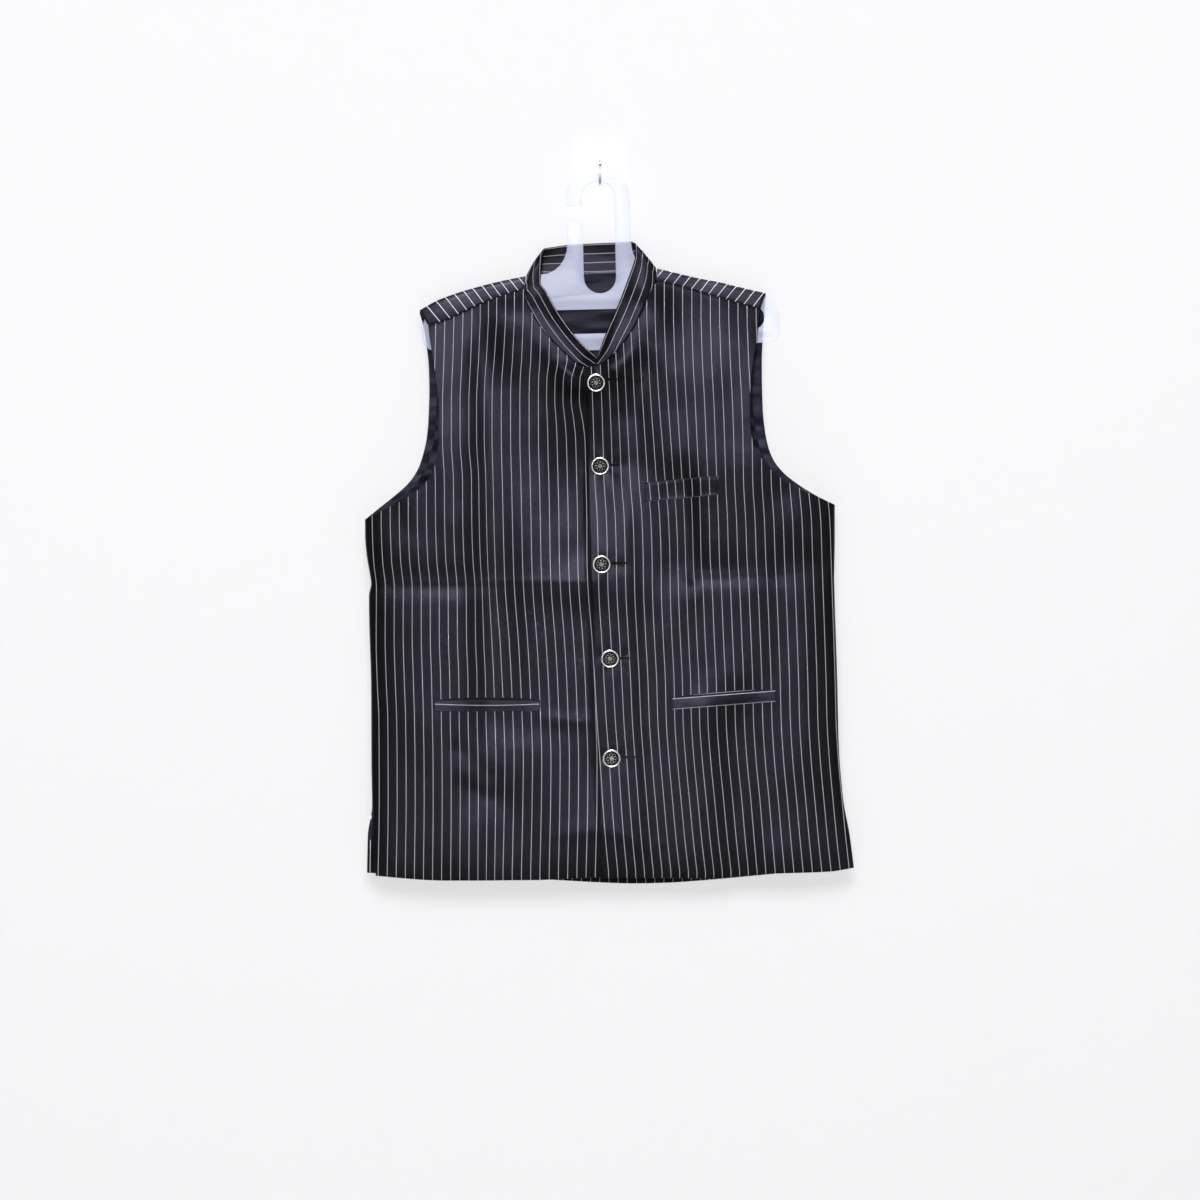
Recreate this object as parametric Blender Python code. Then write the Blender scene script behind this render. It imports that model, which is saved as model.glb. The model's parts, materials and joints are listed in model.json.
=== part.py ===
"""Sleeveless band-collar jacket, buttoned, on a flat hanger held by a small wall hook.

Units are metres. The origin is the centre of the hook plate's back face, on the wall.
The wall is the plane y = 0, the jacket hangs in front of it (y < 0), +Z is up and +X
is the wearer's left. Every cloth panel is a grid of points worked out from the tables
below and given a wall, so each piece is one closed solid with its neighbours at its seams.
"""
import math
from collections import namedtuple

import bmesh
import bpy
from mathutils import Vector
from mathutils.bvhtree import BVHTree

# ---------------------------------------------------------------- driving dimensions
FRONT_WALL = 0.0020        # fronts: cloth, interlining and facing
BACK_WALL = 0.0015
LINING_WALL = 0.0010
COLLAR_WALL = 0.0024
WELT_WALL = 0.0016
SEAM_GAP = 0.0003          # between pieces that are sewn together
LAP_GAP = 0.0012           # between the two fronts where one lies on the other
LAP_WIDTH = 0.042          # how far the right front runs under the left
LAP_TOP_Z = -0.246         # where the fronts begin to lie on each other
HANG_PLANE = -0.0250       # y of the hanger's middle and of the side seams
RIDGE_RADIUS = 0.0038      # outer radius of the cloth folded over the hanger
HEM_Z = -0.8604            # nominal hem height
SLIT_TOP_Z = -0.7776       # top of the side slits
SLIT_BLEND = 0.040         # over this drop the side seam's edge becomes a slit edge
SLIT_SPREAD = 0.03         # how far the slit edges stay from closing
SIDE_ROUNDNESS = 6.0       # power of the flattened oval across the body
BODY_AXIS_X = 0.0          # middle of the body

ROW_STEP = 0.040           # grid spacing down the skirt
CREASE_STEP = 0.010        # grid spacing beside the packing crease
CREASE_Z = -0.506
CREASE_ZONE = 0.026
FRONT_COLUMNS = 15
STRIP_ARC_STEPS = 4
COLLAR_STAND = 0.0007      # from a front's neckline to the foot of the collar
COLLAR_FOOT_Y = -0.0296    # the collar's front half stays forward of the hanger
COLLAR_TOP_Y = -0.0302
COLLAR_LEAN = 0.0050       # its top leans back by this
COLLAR_BOW = 0.0012        # and its middle rounds out by this
LINING_HEM_ROWS = 1        # rows of hem facing left bare below the lining

BUTTON_RADIUS = 0.0110
BUTTON_BORE = 0.0084       # inner radius of the metal rim
BUTTON_HEIGHT = 0.0034
BUTTON_SEGMENTS = 16

LABEL_PLACE = (-0.0102, -0.1398)
LABEL_WIDTH, LABEL_HEIGHT, LABEL_WALL = 0.0132, 0.0084, 0.0006

HANGER_THICKNESS = 0.0030
HANGER_TILT = math.radians(1.4)
HOOK_PLATE_SIZE = 0.060
HOOK_PLATE_THICKNESS = 0.0015
WIRE_RADIUS = 0.0016

# ---------------------------------------------------------------- tables
# shoulder: the ridge over the hanger and the seam in front of it, neck point to tip
Shoulder = namedtuple("Shoulder", "ridge_x ridge_z seam_x seam_z")
SHOULDER_RIGHT = [
    Shoulder(-0.0895, -0.1378, -0.0914, -0.1531),
    Shoulder(-0.1190, -0.1437, -0.1140, -0.1601),
    Shoulder(-0.1480, -0.1510, -0.1400, -0.1697),
    Shoulder(-0.1740, -0.1588, -0.1655, -0.1815),
    Shoulder(-0.1960, -0.1672, -0.1870, -0.1912),
    Shoulder(-0.2167, -0.1788, -0.2064, -0.1968),
]
SHOULDER_LEFT = [
    Shoulder(0.0685, -0.1284, 0.0689, -0.1426),
    Shoulder(0.0930, -0.1342, 0.0925, -0.1485),
    Shoulder(0.1180, -0.1402, 0.1170, -0.1556),
    Shoulder(0.1440, -0.1450, 0.1430, -0.1631),
    Shoulder(0.1700, -0.1515, 0.1680, -0.1703),
    Shoulder(0.1990, -0.1579, 0.1924, -0.1770),
]

# panel rows from the shoulder seam to the armpit: inner edge, then armhole edge
Row = namedtuple("Row", "inner_x inner_z outer_x outer_z")
FRONT_RIGHT_ROWS = [
    Row(-0.0914, -0.1531, -0.2064, -0.1968),
    Row(-0.0888, -0.1644, -0.2045, -0.2124),
    Row(-0.0816, -0.1812, -0.2010, -0.2340),
    Row(-0.0708, -0.1992, -0.1980, -0.2532),
    Row(-0.0558, -0.2176, -0.1956, -0.2724),
    Row(-0.0412, -0.2314, -0.1940, -0.2868),
    Row(-0.0268, -0.2436, -0.1936, -0.3000),
    Row(-0.0096, -0.2510, -0.1936, -0.3108),
    Row(0.0130, -0.2604, -0.1937, -0.3228),
    Row(0.0260, -0.2772, -0.1942, -0.3380),
    Row(0.0300, -0.3060, -0.1958, -0.3532),
    Row(0.0294, -0.3390, -0.1990, -0.3690),
    Row(0.0288, -0.3640, -0.2080, -0.3840),
    Row(0.0288, -0.3830, -0.2200, -0.3960),
    Row(0.0288, -0.3990, -0.2380, -0.4080),
    Row(0.0290, -0.4150, -0.2610, -0.4190),
    Row(0.0292, -0.4304, -0.2827, -0.4304),
]
FRONT_LEFT_ROWS = [
    Row(0.0689, -0.1426, 0.1924, -0.1770),
    Row(0.0606, -0.1572, 0.1900, -0.1956),
    Row(0.0510, -0.1788, 0.1872, -0.2196),
    Row(0.0408, -0.1992, 0.1838, -0.2412),
    Row(0.0294, -0.2168, 0.1812, -0.2640),
    Row(0.0180, -0.2303, 0.1801, -0.2796),
    Row(0.0004, -0.2442, 0.1800, -0.2916),
    Row(-0.0204, -0.2496, 0.1800, -0.3030),
    Row(-0.0190, -0.2650, 0.1805, -0.3156),
    Row(-0.0150, -0.2850, 0.1820, -0.3310),
    Row(-0.0122, -0.3090, 0.1860, -0.3450),
    Row(-0.0126, -0.3330, 0.1935, -0.3570),
    Row(-0.0132, -0.3540, 0.2050, -0.3705),
    Row(-0.0132, -0.3720, 0.2170, -0.3810),
    Row(-0.0132, -0.3870, 0.2360, -0.3912),
    Row(-0.0131, -0.4000, 0.2590, -0.4020),
    Row(-0.0128, -0.4123, 0.2822, -0.4123),
]
# back panel rows from the ridge to the armpits: right edge, then left edge
BACK_ROWS = [
    Row(-0.2167, -0.1830, 0.1990, -0.1621),
    Row(-0.2118, -0.2000, 0.1974, -0.1850),
    Row(-0.2082, -0.2230, 0.1956, -0.2130),
    Row(-0.2058, -0.2484, 0.1946, -0.2424),
    Row(-0.2052, -0.2740, 0.1949, -0.2724),
    Row(-0.2060, -0.3020, 0.1958, -0.2990),
    Row(-0.2080, -0.3290, 0.1985, -0.3240),
    Row(-0.2124, -0.3504, 0.2025, -0.3430),
    Row(-0.2190, -0.3696, 0.2090, -0.3590),
    Row(-0.2304, -0.3864, 0.2200, -0.3730),
    Row(-0.2448, -0.3996, 0.2360, -0.3860),
    Row(-0.2640, -0.4150, 0.2580, -0.4000),
    Row(-0.2827, -0.4304, 0.2822, -0.4123),
]

# side seams, slit edges and the closure edge, from the armpit to the hem
Side = namedtuple("Side", "z front_right front_left back_right back_left closure")
SIDES = [
    Side(-0.4000, -0.2827, 0.2822, -0.2827, 0.2822, -0.0132),
    Side(-0.4500, -0.2824, 0.2822, -0.2824, 0.2822, -0.0120),
    Side(-0.4740, -0.2804, 0.2819, -0.2804, 0.2819, -0.0110),
    Side(-0.4932, -0.2772, 0.2816, -0.2772, 0.2816, -0.0102),
    Side(-0.5076, -0.2752, 0.2812, -0.2752, 0.2812, -0.0094),
    Side(-0.5232, -0.2779, 0.2817, -0.2779, 0.2817, -0.0084),
    Side(-0.5544, -0.2774, 0.2825, -0.2774, 0.2825, -0.0078),
    Side(-0.6336, -0.2752, 0.2851, -0.2752, 0.2851, -0.0062),
    Side(-0.7212, -0.2748, 0.2874, -0.2748, 0.2874, -0.0018),
    Side(-0.7776, -0.2736, 0.2928, -0.2740, 0.2920, 0.0004),
    Side(-0.8148, -0.2714, 0.2994, -0.2791, 0.2952, 0.0016),
    Side(-0.8700, -0.2690, 0.3062, -0.2802, 0.3000, 0.0030),
]

# the hem lines, front and back
Hem = namedtuple("Hem", "x front_z back_z")
HEM = [
    Hem(-0.2820, -0.8570, -0.8544),
    Hem(-0.1840, -0.8636, -0.8600),
    Hem(-0.0800, -0.8630, -0.8622),
    Hem(0.0000, -0.8598, -0.8664),
    Hem(0.0400, -0.8601, -0.8677),
    Hem(0.0800, -0.8605, -0.8668),
    Hem(0.1390, -0.8608, -0.8626),
    Hem(0.1990, -0.8557, -0.8570),
    Hem(0.2760, -0.8528, -0.8500),
    Hem(0.3070, -0.8478, -0.8480),
]

# depth of the body in front of and behind the side seams, by drop below the ridge
Depth = namedtuple("Depth", "drop front back")
DEPTHS = [
    Depth(0.000, 0.0038, 0.0036),
    Depth(0.015, 0.0046, 0.0048),
    Depth(0.035, 0.0074, 0.0066),
    Depth(0.070, 0.0112, 0.0088),
    Depth(0.120, 0.0142, 0.0110),
    Depth(0.200, 0.0172, 0.0138),
    Depth(0.300, 0.0182, 0.0148),
    Depth(0.400, 0.0168, 0.0142),
    Depth(0.560, 0.0166, 0.0136),
    Depth(0.740, 0.0150, 0.0118),
]

# folds: a line from start to end; height toward the viewer, spread on the two sides
# (left_spread lies to the left when walking from start to end)
Fold = namedtuple("Fold", "x0 z0 x1 z1 height left_spread right_spread")
FRONT_FOLDS = [
    Fold(-0.270, -0.5076, -0.140, -0.5090, -0.0032, 0.020, 0.014),   # packing crease, right
    Fold(-0.128, -0.5050, -0.006, -0.5030, 0.0036, 0.016, 0.030),    # its raised middle
    Fold(0.112, -0.4960, 0.276, -0.4912, -0.0030, 0.018, 0.015),     # packing crease, left
    Fold(-0.074, -0.2150, -0.040, -0.2570, 0.0050, 0.020, 0.012),    # swag from the collar
    Fold(-0.040, -0.2570, -0.012, -0.2690, 0.0050, 0.012, 0.020),    # swag to the top button
    Fold(0.048, -0.2220, 0.010, -0.2580, 0.0028, 0.012, 0.014),      # small swag, left
    Fold(-0.020, -0.2950, -0.016, -0.3500, -0.0036, 0.034, 0.034),   # hollow under the swag
    Fold(-0.132, -0.2100, -0.131, -0.4850, -0.0044, 0.044, 0.018),   # long dip, right chest
    Fold(-0.130, -0.5300, -0.117, -0.8300, -0.0030, 0.040, 0.018),   # long dip, right skirt
    Fold(0.098, -0.4050, 0.112, -0.5040, -0.0044, 0.014, 0.040),     # long dip, left chest
    Fold(0.124, -0.6500, 0.134, -0.8380, 0.0036, 0.030, 0.014),      # long ridge, left skirt
    Fold(0.062, -0.1600, 0.106, -0.2260, 0.0022, 0.022, 0.022),      # left shoulder roll
    Fold(-0.118, -0.1800, -0.124, -0.2500, 0.0022, 0.022, 0.022),    # right shoulder roll
    Fold(0.002, -0.7600, 0.012, -0.8300, 0.0026, 0.050, 0.040),      # soft swelling at the hem
]
BACK_FOLDS = [
    Fold(-0.262, -0.5060, 0.262, -0.4960, 0.0026, 0.018, 0.018),     # packing crease
    Fold(-0.110, -0.2300, -0.120, -0.8200, 0.0030, 0.030, 0.030),
    Fold(0.120, -0.2600, 0.128, -0.8300, 0.0030, 0.030, 0.030),
    Fold(0.010, -0.5400, 0.006, -0.8300, -0.0024, 0.040, 0.040),
]

# collar stations from the right front end, round the back, to the left front end
Station = namedtuple("Station", "foot_x foot_y foot_z top_x top_y top_z face_x face_y")
COLLAR_RIGHT_TOPS = [(-0.0714, -0.1446), (-0.0649, -0.1555), (-0.0577, -0.1688), (-0.0493, -0.1834),
                     (-0.0385, -0.1990), (-0.0277, -0.2125), (-0.0149, -0.2258)]
COLLAR_LEFT_TOPS = [(0.0426, -0.1128), (0.0322, -0.1446), (0.0246, -0.1651), (0.0169, -0.1837),
                    (0.0104, -0.1985), (0.0045, -0.2131), (-0.0010, -0.2286)]
# its front ends, past the necklines: foot x, z and top x, z
COLLAR_RIGHT_END = [(-0.0132, -0.2474, -0.0092, -0.2308), (-0.0058, -0.2446, -0.0038, -0.2354)]
COLLAR_LEFT_END = [(-0.0050, -0.2444, -0.0029, -0.2350)]
COLLAR_BACK = [
    Station(-0.0889, -0.0298, -0.1410, -0.0706, -0.0300, -0.1220, -0.7, -0.7),
    Station(-0.0889, -0.0250, -0.1372, -0.0696, -0.0248, -0.1074, -1.0, 0.0),
    Station(-0.0876, -0.0204, -0.1376, -0.0674, -0.0200, -0.1044, -0.6, 0.8),
    Station(-0.0740, -0.0172, -0.1366, -0.0560, -0.0164, -0.1024, -0.1, 1.0),
    Station(-0.0440, -0.0168, -0.1352, -0.0350, -0.0158, -0.0996, 0.0, 1.0),
    Station(-0.0110, -0.0168, -0.1334, -0.0096, -0.0158, -0.0982, 0.0, 1.0),
    Station(0.0240, -0.0168, -0.1318, 0.0196, -0.0158, -0.0970, 0.0, 1.0),
    Station(0.0530, -0.0172, -0.1296, 0.0370, -0.0166, -0.0958, 0.1, 1.0),
    Station(0.0664, -0.0204, -0.1282, 0.0408, -0.0200, -0.0966, 0.6, 0.8),
    Station(0.0677, -0.0250, -0.1278, 0.0420, -0.0250, -0.0980, 1.0, 0.0),
    Station(0.0678, -0.0298, -0.1316, 0.0424, -0.0300, -0.1020, 0.7, -0.7),
]

# pocket welts on the fronts: corners of the visible strip
Welt = namedtuple("Welt", "name inner_x inner_top outer_x outer_top height lean")
WELTS = [
    Welt("chest_welt", 0.0540, -0.3860, 0.1416, -0.3779, 0.0222, -0.0008),
    Welt("hip_welt_right", -0.1986, -0.6472, -0.0724, -0.6472, 0.0130, 0.0),
    Welt("hip_welt_left", 0.0864, -0.6450, 0.2110, -0.6354, 0.0130, 0.0),
]

# buttons down the closure
Button = namedtuple("Button", "x z")
BUTTONS = [
    Button(-0.0048, -0.2664),
    Button(0.0000, -0.3660),
    Button(0.0019, -0.4841),
    Button(0.0119, -0.5972),
    Button(0.0139, -0.7168),
]

# materials: colour, roughness, metallic
Finish = namedtuple("Finish", "colour roughness metallic")
SUITING = Finish((0.030, 0.030, 0.036), 0.72, 0.0)
NAVY_LINING = Finish((0.020, 0.022, 0.034), 0.55, 0.0)
SILVER = Finish((0.86, 0.84, 0.80), 0.22, 1.0)
DARK_DOME = Finish((0.03, 0.03, 0.035), 0.35, 0.6)
FROSTED = Finish((0.62, 0.66, 0.84), 0.35, 0.0)
CLEAR = Finish((0.93, 0.94, 0.95), 0.12, 0.0)
WHITE_TAPE = Finish((0.80, 0.80, 0.80), 0.80, 0.0)


# ---------------------------------------------------------------- reading the tables
def hermite(y0, y1, m0, m1, t):
    """Cubic between two values with the given end slopes."""
    t2, t3 = t * t, t * t * t
    return (2 * t3 - 3 * t2 + 1) * y0 + (t3 - 2 * t2 + t) * m0 + (3 * t2 - 2 * t3) * y1 + (t3 - t2) * m1


def slopes(xs, ys):
    """Slopes of a smooth curve through the points that never overshoots them."""
    steps = [(y1 - y0) / (x1 - x0) for x0, x1, y0, y1 in zip(xs, xs[1:], ys, ys[1:])]
    inner = [2 * a * b / (a + b) if a * b > 0 else 0.0 for a, b in zip(steps, steps[1:])]
    return [steps[0]] + inner + [steps[-1]]


def read(xs, ys, x):
    """Value of the smooth curve at x; the end values hold outside the table."""
    if xs[0] > xs[-1]:
        xs, ys = xs[::-1], ys[::-1]
    x = min(max(x, xs[0]), xs[-1])
    k = max(i for i in range(len(xs) - 1) if xs[i] <= x or i == 0)
    width = xs[k + 1] - xs[k]
    m = slopes(xs, ys)
    return hermite(ys[k], ys[k + 1], m[k] * width, m[k + 1] * width, (x - xs[k]) / width)


def column(table, name):
    return [getattr(row, name) for row in table]


def side_x(name, z):
    return read(column(SIDES, "z"), column(SIDES, name), z)


def hem_z(name, x):
    return read(column(HEM, "x"), column(HEM, name), x)


RIDGE = SHOULDER_RIGHT[::-1] + SHOULDER_LEFT
RIDGE_X = column(RIDGE, "ridge_x")
RIDGE_Z = column(RIDGE, "ridge_z")
DROPS = column(DEPTHS, "drop")


def smooth_step(low, high, value):
    t = min(max((value - low) / (high - low), 0.0), 1.0)
    return t * t * (3 - 2 * t)


# ---------------------------------------------------------------- the hanging form
def fold_height(folds, x, z):
    """Sum of the folds at a point, each a soft ridge along its line that fades at the ends."""
    total = 0.0
    for fold in folds:
        dx, dz = fold.x1 - fold.x0, fold.z1 - fold.z0
        length = math.hypot(dx, dz)
        along = ((x - fold.x0) * dx + (z - fold.z0) * dz) / length
        across = ((z - fold.z0) * dx - (x - fold.x0) * dz) / length
        spread = fold.left_spread if across > 0 else fold.right_spread
        fade = 0.5 * (fold.left_spread + fold.right_spread)
        ends = smooth_step(-fade, fade, along) * smooth_step(-fade, fade, length - along)
        total += fold.height * math.exp(-(across / spread) ** 2) * ends
    return total


def fullness(x, z):
    """1 in the middle of the body, falling to 0 at the side seams."""
    name = "front_right" if x < BODY_AXIS_X else "front_left"
    reach = abs(side_x(name, z) - BODY_AXIS_X)
    slit = smooth_step(SLIT_TOP_Z, HEM_Z, z)
    t = min(abs(x - BODY_AXIS_X) / (reach * (1 + SLIT_SPREAD * slit)), 1.0)
    return math.sqrt(max(1 - t ** SIDE_ROUNDNESS, 0.0))


def front_y(x, z):
    """Outer face of the fronts."""
    drop = read(RIDGE_X, RIDGE_Z, x) - z
    dome = fullness(x, z)
    depth = read(DROPS, column(DEPTHS, "front"), drop)
    return HANG_PLANE - depth * dome - fold_height(FRONT_FOLDS, x, z) * dome


def back_y(x, z):
    """Outer face of the back; it stands off a little further below the neck."""
    drop = read(RIDGE_X, RIDGE_Z, x) - z
    dome = fullness(x, z)
    depth = read(DROPS, column(DEPTHS, "back"), drop)
    neck = 1 - smooth_step(0.048, 0.074, abs(x + 0.0105))
    depth += 0.0034 * neck * (1 - smooth_step(0.0, 0.06, drop))
    return HANG_PLANE + depth * dome + fold_height(BACK_FOLDS, x, z) * dome


# ---------------------------------------------------------------- building solids
def material(name, finish):
    mat = bpy.data.materials.new(name)
    mat.use_nodes = True
    shader = mat.node_tree.nodes["Principled BSDF"]
    shader.inputs["Base Color"].default_value = (*finish.colour, 1.0)
    shader.inputs["Roughness"].default_value = finish.roughness
    shader.inputs["Metallic"].default_value = finish.metallic
    mat.diffuse_color = (*finish.colour, 1.0)
    return mat


def new_object(name, vertices, faces, finish, smooth=True):
    mesh = bpy.data.meshes.new(name)
    mesh.from_pydata([tuple(v) for v in vertices], [], faces)
    mesh.validate()
    mesh.materials.append(material(name, finish))
    if smooth:
        mesh.shade_smooth()
        mesh.set_sharp_from_angle(angle=math.radians(40))
    obj = bpy.data.objects.new(name, mesh)
    bpy.context.scene.collection.objects.link(obj)
    return obj


def sheet_normals(points, quads):
    """Unit normals of an open sheet, averaged from its faces."""
    normals = [Vector((0, 0, 0)) for _ in points]
    for quad in quads:
        a, b, c, d = (points[i] for i in quad)
        normal = (c - a).cross(d - b)
        for i in quad:
            normals[i] += normal
    return [n.normalized() for n in normals]


def wall(name, points, quads, thickness, finish, turned=None, gap=0.0):
    """Closed solid of an open sheet: its points are the outer face, less a gap."""
    normals = sheet_normals(points, quads)
    for index, normal in (turned or {}).items():
        normals[index] = normal
    outer = [p - n * gap for p, n in zip(points, normals)]
    inner = [p - n * (gap + thickness) for p, n in zip(points, normals)]
    count = len(points)
    facets = [f for a, b, c, d in quads for f in ((a, b, c), (a, c, d))]
    faces = [list(f) for f in facets] + [[i + count for i in reversed(f)] for f in facets]
    edges = {}
    for quad in quads:
        for a, b in zip(quad, quad[1:] + quad[:1]):
            edges[(a, b)] = True
    for a, b in edges:
        if (b, a) not in edges:
            faces.append([b, a, a + count, b + count])
    return new_object(name, outer + inner, faces, finish)


def grid_quads(rows, columns, start=0, flip=False):
    """Quads of a rows x columns grid of points stored row by row."""
    quads = []
    for r in range(rows - 1):
        for c in range(columns - 1):
            a = start + r * columns + c
            quad = [a, a + 1, a + 1 + columns, a + columns]
            quads.append(quad[::-1] if flip else quad)
    return quads


def skirt_fractions(armpit_z):
    """Row places from the armpit (0) to the hem (1), closer beside the packing crease."""
    fractions = []
    z = armpit_z
    while z > HEM_Z + 0.6 * ROW_STEP:
        fractions.append((armpit_z - z) / (armpit_z - HEM_Z))
        z -= CREASE_STEP if abs(z - CREASE_Z) < CREASE_ZONE else ROW_STEP
    return fractions[1:] + [1.0]


SKIRT = skirt_fractions(FRONT_RIGHT_ROWS[-1].outer_z)
SPREAD = [math.sin(k * math.pi / 2 / (FRONT_COLUMNS - 1)) for k in range(FRONT_COLUMNS)]


def closure_shift(side, x, z):
    """Depth change at the closure: the left front lies on the right one."""
    edge = side_x("closure", z)
    half = 0.5 * (FRONT_WALL + LAP_GAP) * smooth_step(LAP_TOP_Z + 0.020, LAP_TOP_Z, z)
    if side > 0:
        return -half * (1 - smooth_step(edge + LAP_WIDTH, edge + LAP_WIDTH + 0.020, x))
    under = smooth_step(edge - 0.030, edge - 0.010, x)
    return half * (under + smooth_step(edge, edge + 0.016, x))


def seam_point(shoulder, fraction):
    """Point of the shoulder seam, a straight run between the shoulder stations."""
    start, end = shoulder[0], shoulder[-1]
    x = start.seam_x + (end.seam_x - start.seam_x) * fraction
    stations = [(s.seam_x, s.seam_z) for s in shoulder]
    for (x0, z0), (x1, z1) in zip(stations, stations[1:]):
        if min(x0, x1) - 1e-9 <= x <= max(x0, x1) + 1e-9:
            t = (x - x0) / (x1 - x0)
            y = front_y(x0, z0) * (1 - t) + front_y(x1, z1) * t
            return Vector((x, y, z0 + (z1 - z0) * t))
    return Vector((end.seam_x, front_y(end.seam_x, end.seam_z), end.seam_z))


def front_points(rows, shoulder, side):
    """Grid of one front, row by row, from the inner edge to the outer edge."""
    name = "front_left" if side > 0 else "front_right"
    points = [seam_point(shoulder, f) - Vector((0, 0, SEAM_GAP)) for f in SPREAD]
    for row in rows[1:]:
        for f in SPREAD:
            x = row.inner_x + (row.outer_x - row.inner_x) * f
            z = row.inner_z + (row.outer_z - row.inner_z) * f
            points.append(Vector((x, front_y(x, z) + closure_shift(side, x, z), z)))
    armpit_z = rows[-1].outer_z
    for down in SKIRT:
        level = armpit_z + (HEM_Z - armpit_z) * down
        inner = side_x("closure", level) + (0.0 if side > 0 else LAP_WIDTH)
        outer = side_x(name, level)
        for f in SPREAD:
            x = inner + (outer - inner) * f
            z = armpit_z + (hem_z("front_z", x) - armpit_z) * down
            points.append(Vector((x, front_y(x, z) + closure_shift(side, x, z), z)))
    return points


def build_front(rows, shoulder, side):
    name = "front_left" if side > 0 else "front_right"
    points = front_points(rows, shoulder, side)
    row_count = len(points) // FRONT_COLUMNS
    quads = grid_quads(row_count, FRONT_COLUMNS, flip=side > 0)
    turned = {c: Vector((0, -1, 0)) for c in range(FRONT_COLUMNS)}
    for r in range(row_count):
        last = r * FRONT_COLUMNS + FRONT_COLUMNS - 1
        if r < 7:
            turned[r * FRONT_COLUMNS] = Vector((0, -1, 0))
        slit = smooth_step(SLIT_TOP_Z, SLIT_TOP_Z - SLIT_BLEND, points[last].z)
        if r >= len(rows) - 1:
            points[last].y -= 0.5 * SEAM_GAP
            turned[last] = Vector((side, -0.9 * slit, 0)).normalized()
    return wall(name, points, quads, FRONT_WALL, SUITING, turned)


BACK_SHOULDER_COLUMNS = len(SHOULDER_RIGHT)
NECK_STATIONS = [s for s in COLLAR_BACK if s.face_y > 0.9]
BACK_COLUMNS = 2 * BACK_SHOULDER_COLUMNS + len(NECK_STATIONS)


def back_top():
    """Top line of the back panel: ridge tangents at the shoulders, the collar seam between."""
    y = HANG_PLANE + RIDGE_RADIUS
    right = [Vector((s.ridge_x, y, s.ridge_z - RIDGE_RADIUS)) for s in SHOULDER_RIGHT[::-1]]
    left = [Vector((s.ridge_x, y, s.ridge_z - RIDGE_RADIUS)) for s in SHOULDER_LEFT]
    neck = [Vector((s.foot_x, s.foot_y, s.foot_z - SEAM_GAP)) for s in NECK_STATIONS]
    return right + neck + left


def back_points():
    """Grid of the back panel below the ridge, row by row, from its right to its left edge."""
    top = back_top()
    width = top[-1].x - top[0].x
    top_spread = [(p.x - top[0].x) / width for p in top]
    low_spread = [0.5 - 0.5 * math.cos(math.pi * k / (BACK_COLUMNS - 1)) for k in range(BACK_COLUMNS)]
    points = []
    upper = len(BACK_ROWS)
    for r, row in enumerate(BACK_ROWS):
        blend = smooth_step(0, upper - 1, r)
        for k in range(BACK_COLUMNS):
            f = top_spread[k] * (1 - blend) + low_spread[k] * blend
            x = row.inner_x + (row.outer_x - row.inner_x) * f
            flat_z = row.inner_z + (row.outer_z - row.inner_z) * f
            chord_z = BACK_ROWS[0].inner_z + (BACK_ROWS[0].outer_z - BACK_ROWS[0].inner_z) * f
            z = flat_z + (top[k].z - chord_z) * (1 - r / (upper - 1)) ** 2
            points.append(Vector((x, back_y(x, z) if r else top[k].y, z)))
    right_z, left_z = BACK_ROWS[-1].inner_z, BACK_ROWS[-1].outer_z
    for down in SKIRT:
        level = right_z + (HEM_Z - right_z) * down
        right, left = side_x("back_right", level), side_x("back_left", level)
        for f in low_spread:
            x = right + (left - right) * f
            armpit_z = right_z + (left_z - right_z) * f
            z = armpit_z + (hem_z("back_z", x) - armpit_z) * down
            points.append(Vector((x, back_y(x, z), z)))
    return points


def strip_points(shoulder):
    """The back panel carried over the hanger to the shoulder seam, station by station."""
    points = []
    for s in shoulder:
        seam = Vector((s.seam_x, front_y(s.seam_x, s.seam_z), s.seam_z))
        for k in range(1, STRIP_ARC_STEPS + 1):
            angle = math.pi * k / STRIP_ARC_STEPS
            y = HANG_PLANE + RIDGE_RADIUS * math.cos(angle)
            z = s.ridge_z - RIDGE_RADIUS * (1 - math.sin(angle))
            x = s.ridge_x + (s.seam_x - s.ridge_x) * max(s.ridge_z - z, 0) / (s.ridge_z - s.seam_z)
            points.append(Vector((x, y, z)))
        points.append(seam)
    return points


def build_back():
    points = back_points()
    rows = len(points) // BACK_COLUMNS
    quads = grid_quads(rows, BACK_COLUMNS)
    turned = {}
    for r in range(len(BACK_ROWS) - 1, rows):
        first, last = r * BACK_COLUMNS, (r + 1) * BACK_COLUMNS - 1
        slit = smooth_step(SLIT_TOP_Z, SLIT_TOP_Z - SLIT_BLEND, points[last].z)
        for index, sign in ((first, -1), (last, 1)):
            points[index].y += 0.5 * SEAM_GAP
            turned[index] = Vector((sign, 0.9 * slit, 0)).normalized()
    depth = STRIP_ARC_STEPS + 1
    for side, shoulder in ((-1, SHOULDER_RIGHT[::-1]), (1, SHOULDER_LEFT)):
        start = len(points)
        first = 0 if side < 0 else BACK_COLUMNS - BACK_SHOULDER_COLUMNS
        points += strip_points(shoulder)
        for k in range(BACK_SHOULDER_COLUMNS - 1):
            a, b = start + k * depth, start + (k + 1) * depth
            quads.append([first + k, a, b, first + k + 1])
            for j in range(depth - 1):
                quads.append([a + j, a + j + 1, b + j + 1, b + j])
        for k in range(BACK_SHOULDER_COLUMNS):
            turned[start + k * depth + depth - 1] = Vector((0, -1, 0))
    return wall("back", points, quads, BACK_WALL, SUITING, turned), points, rows


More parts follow.
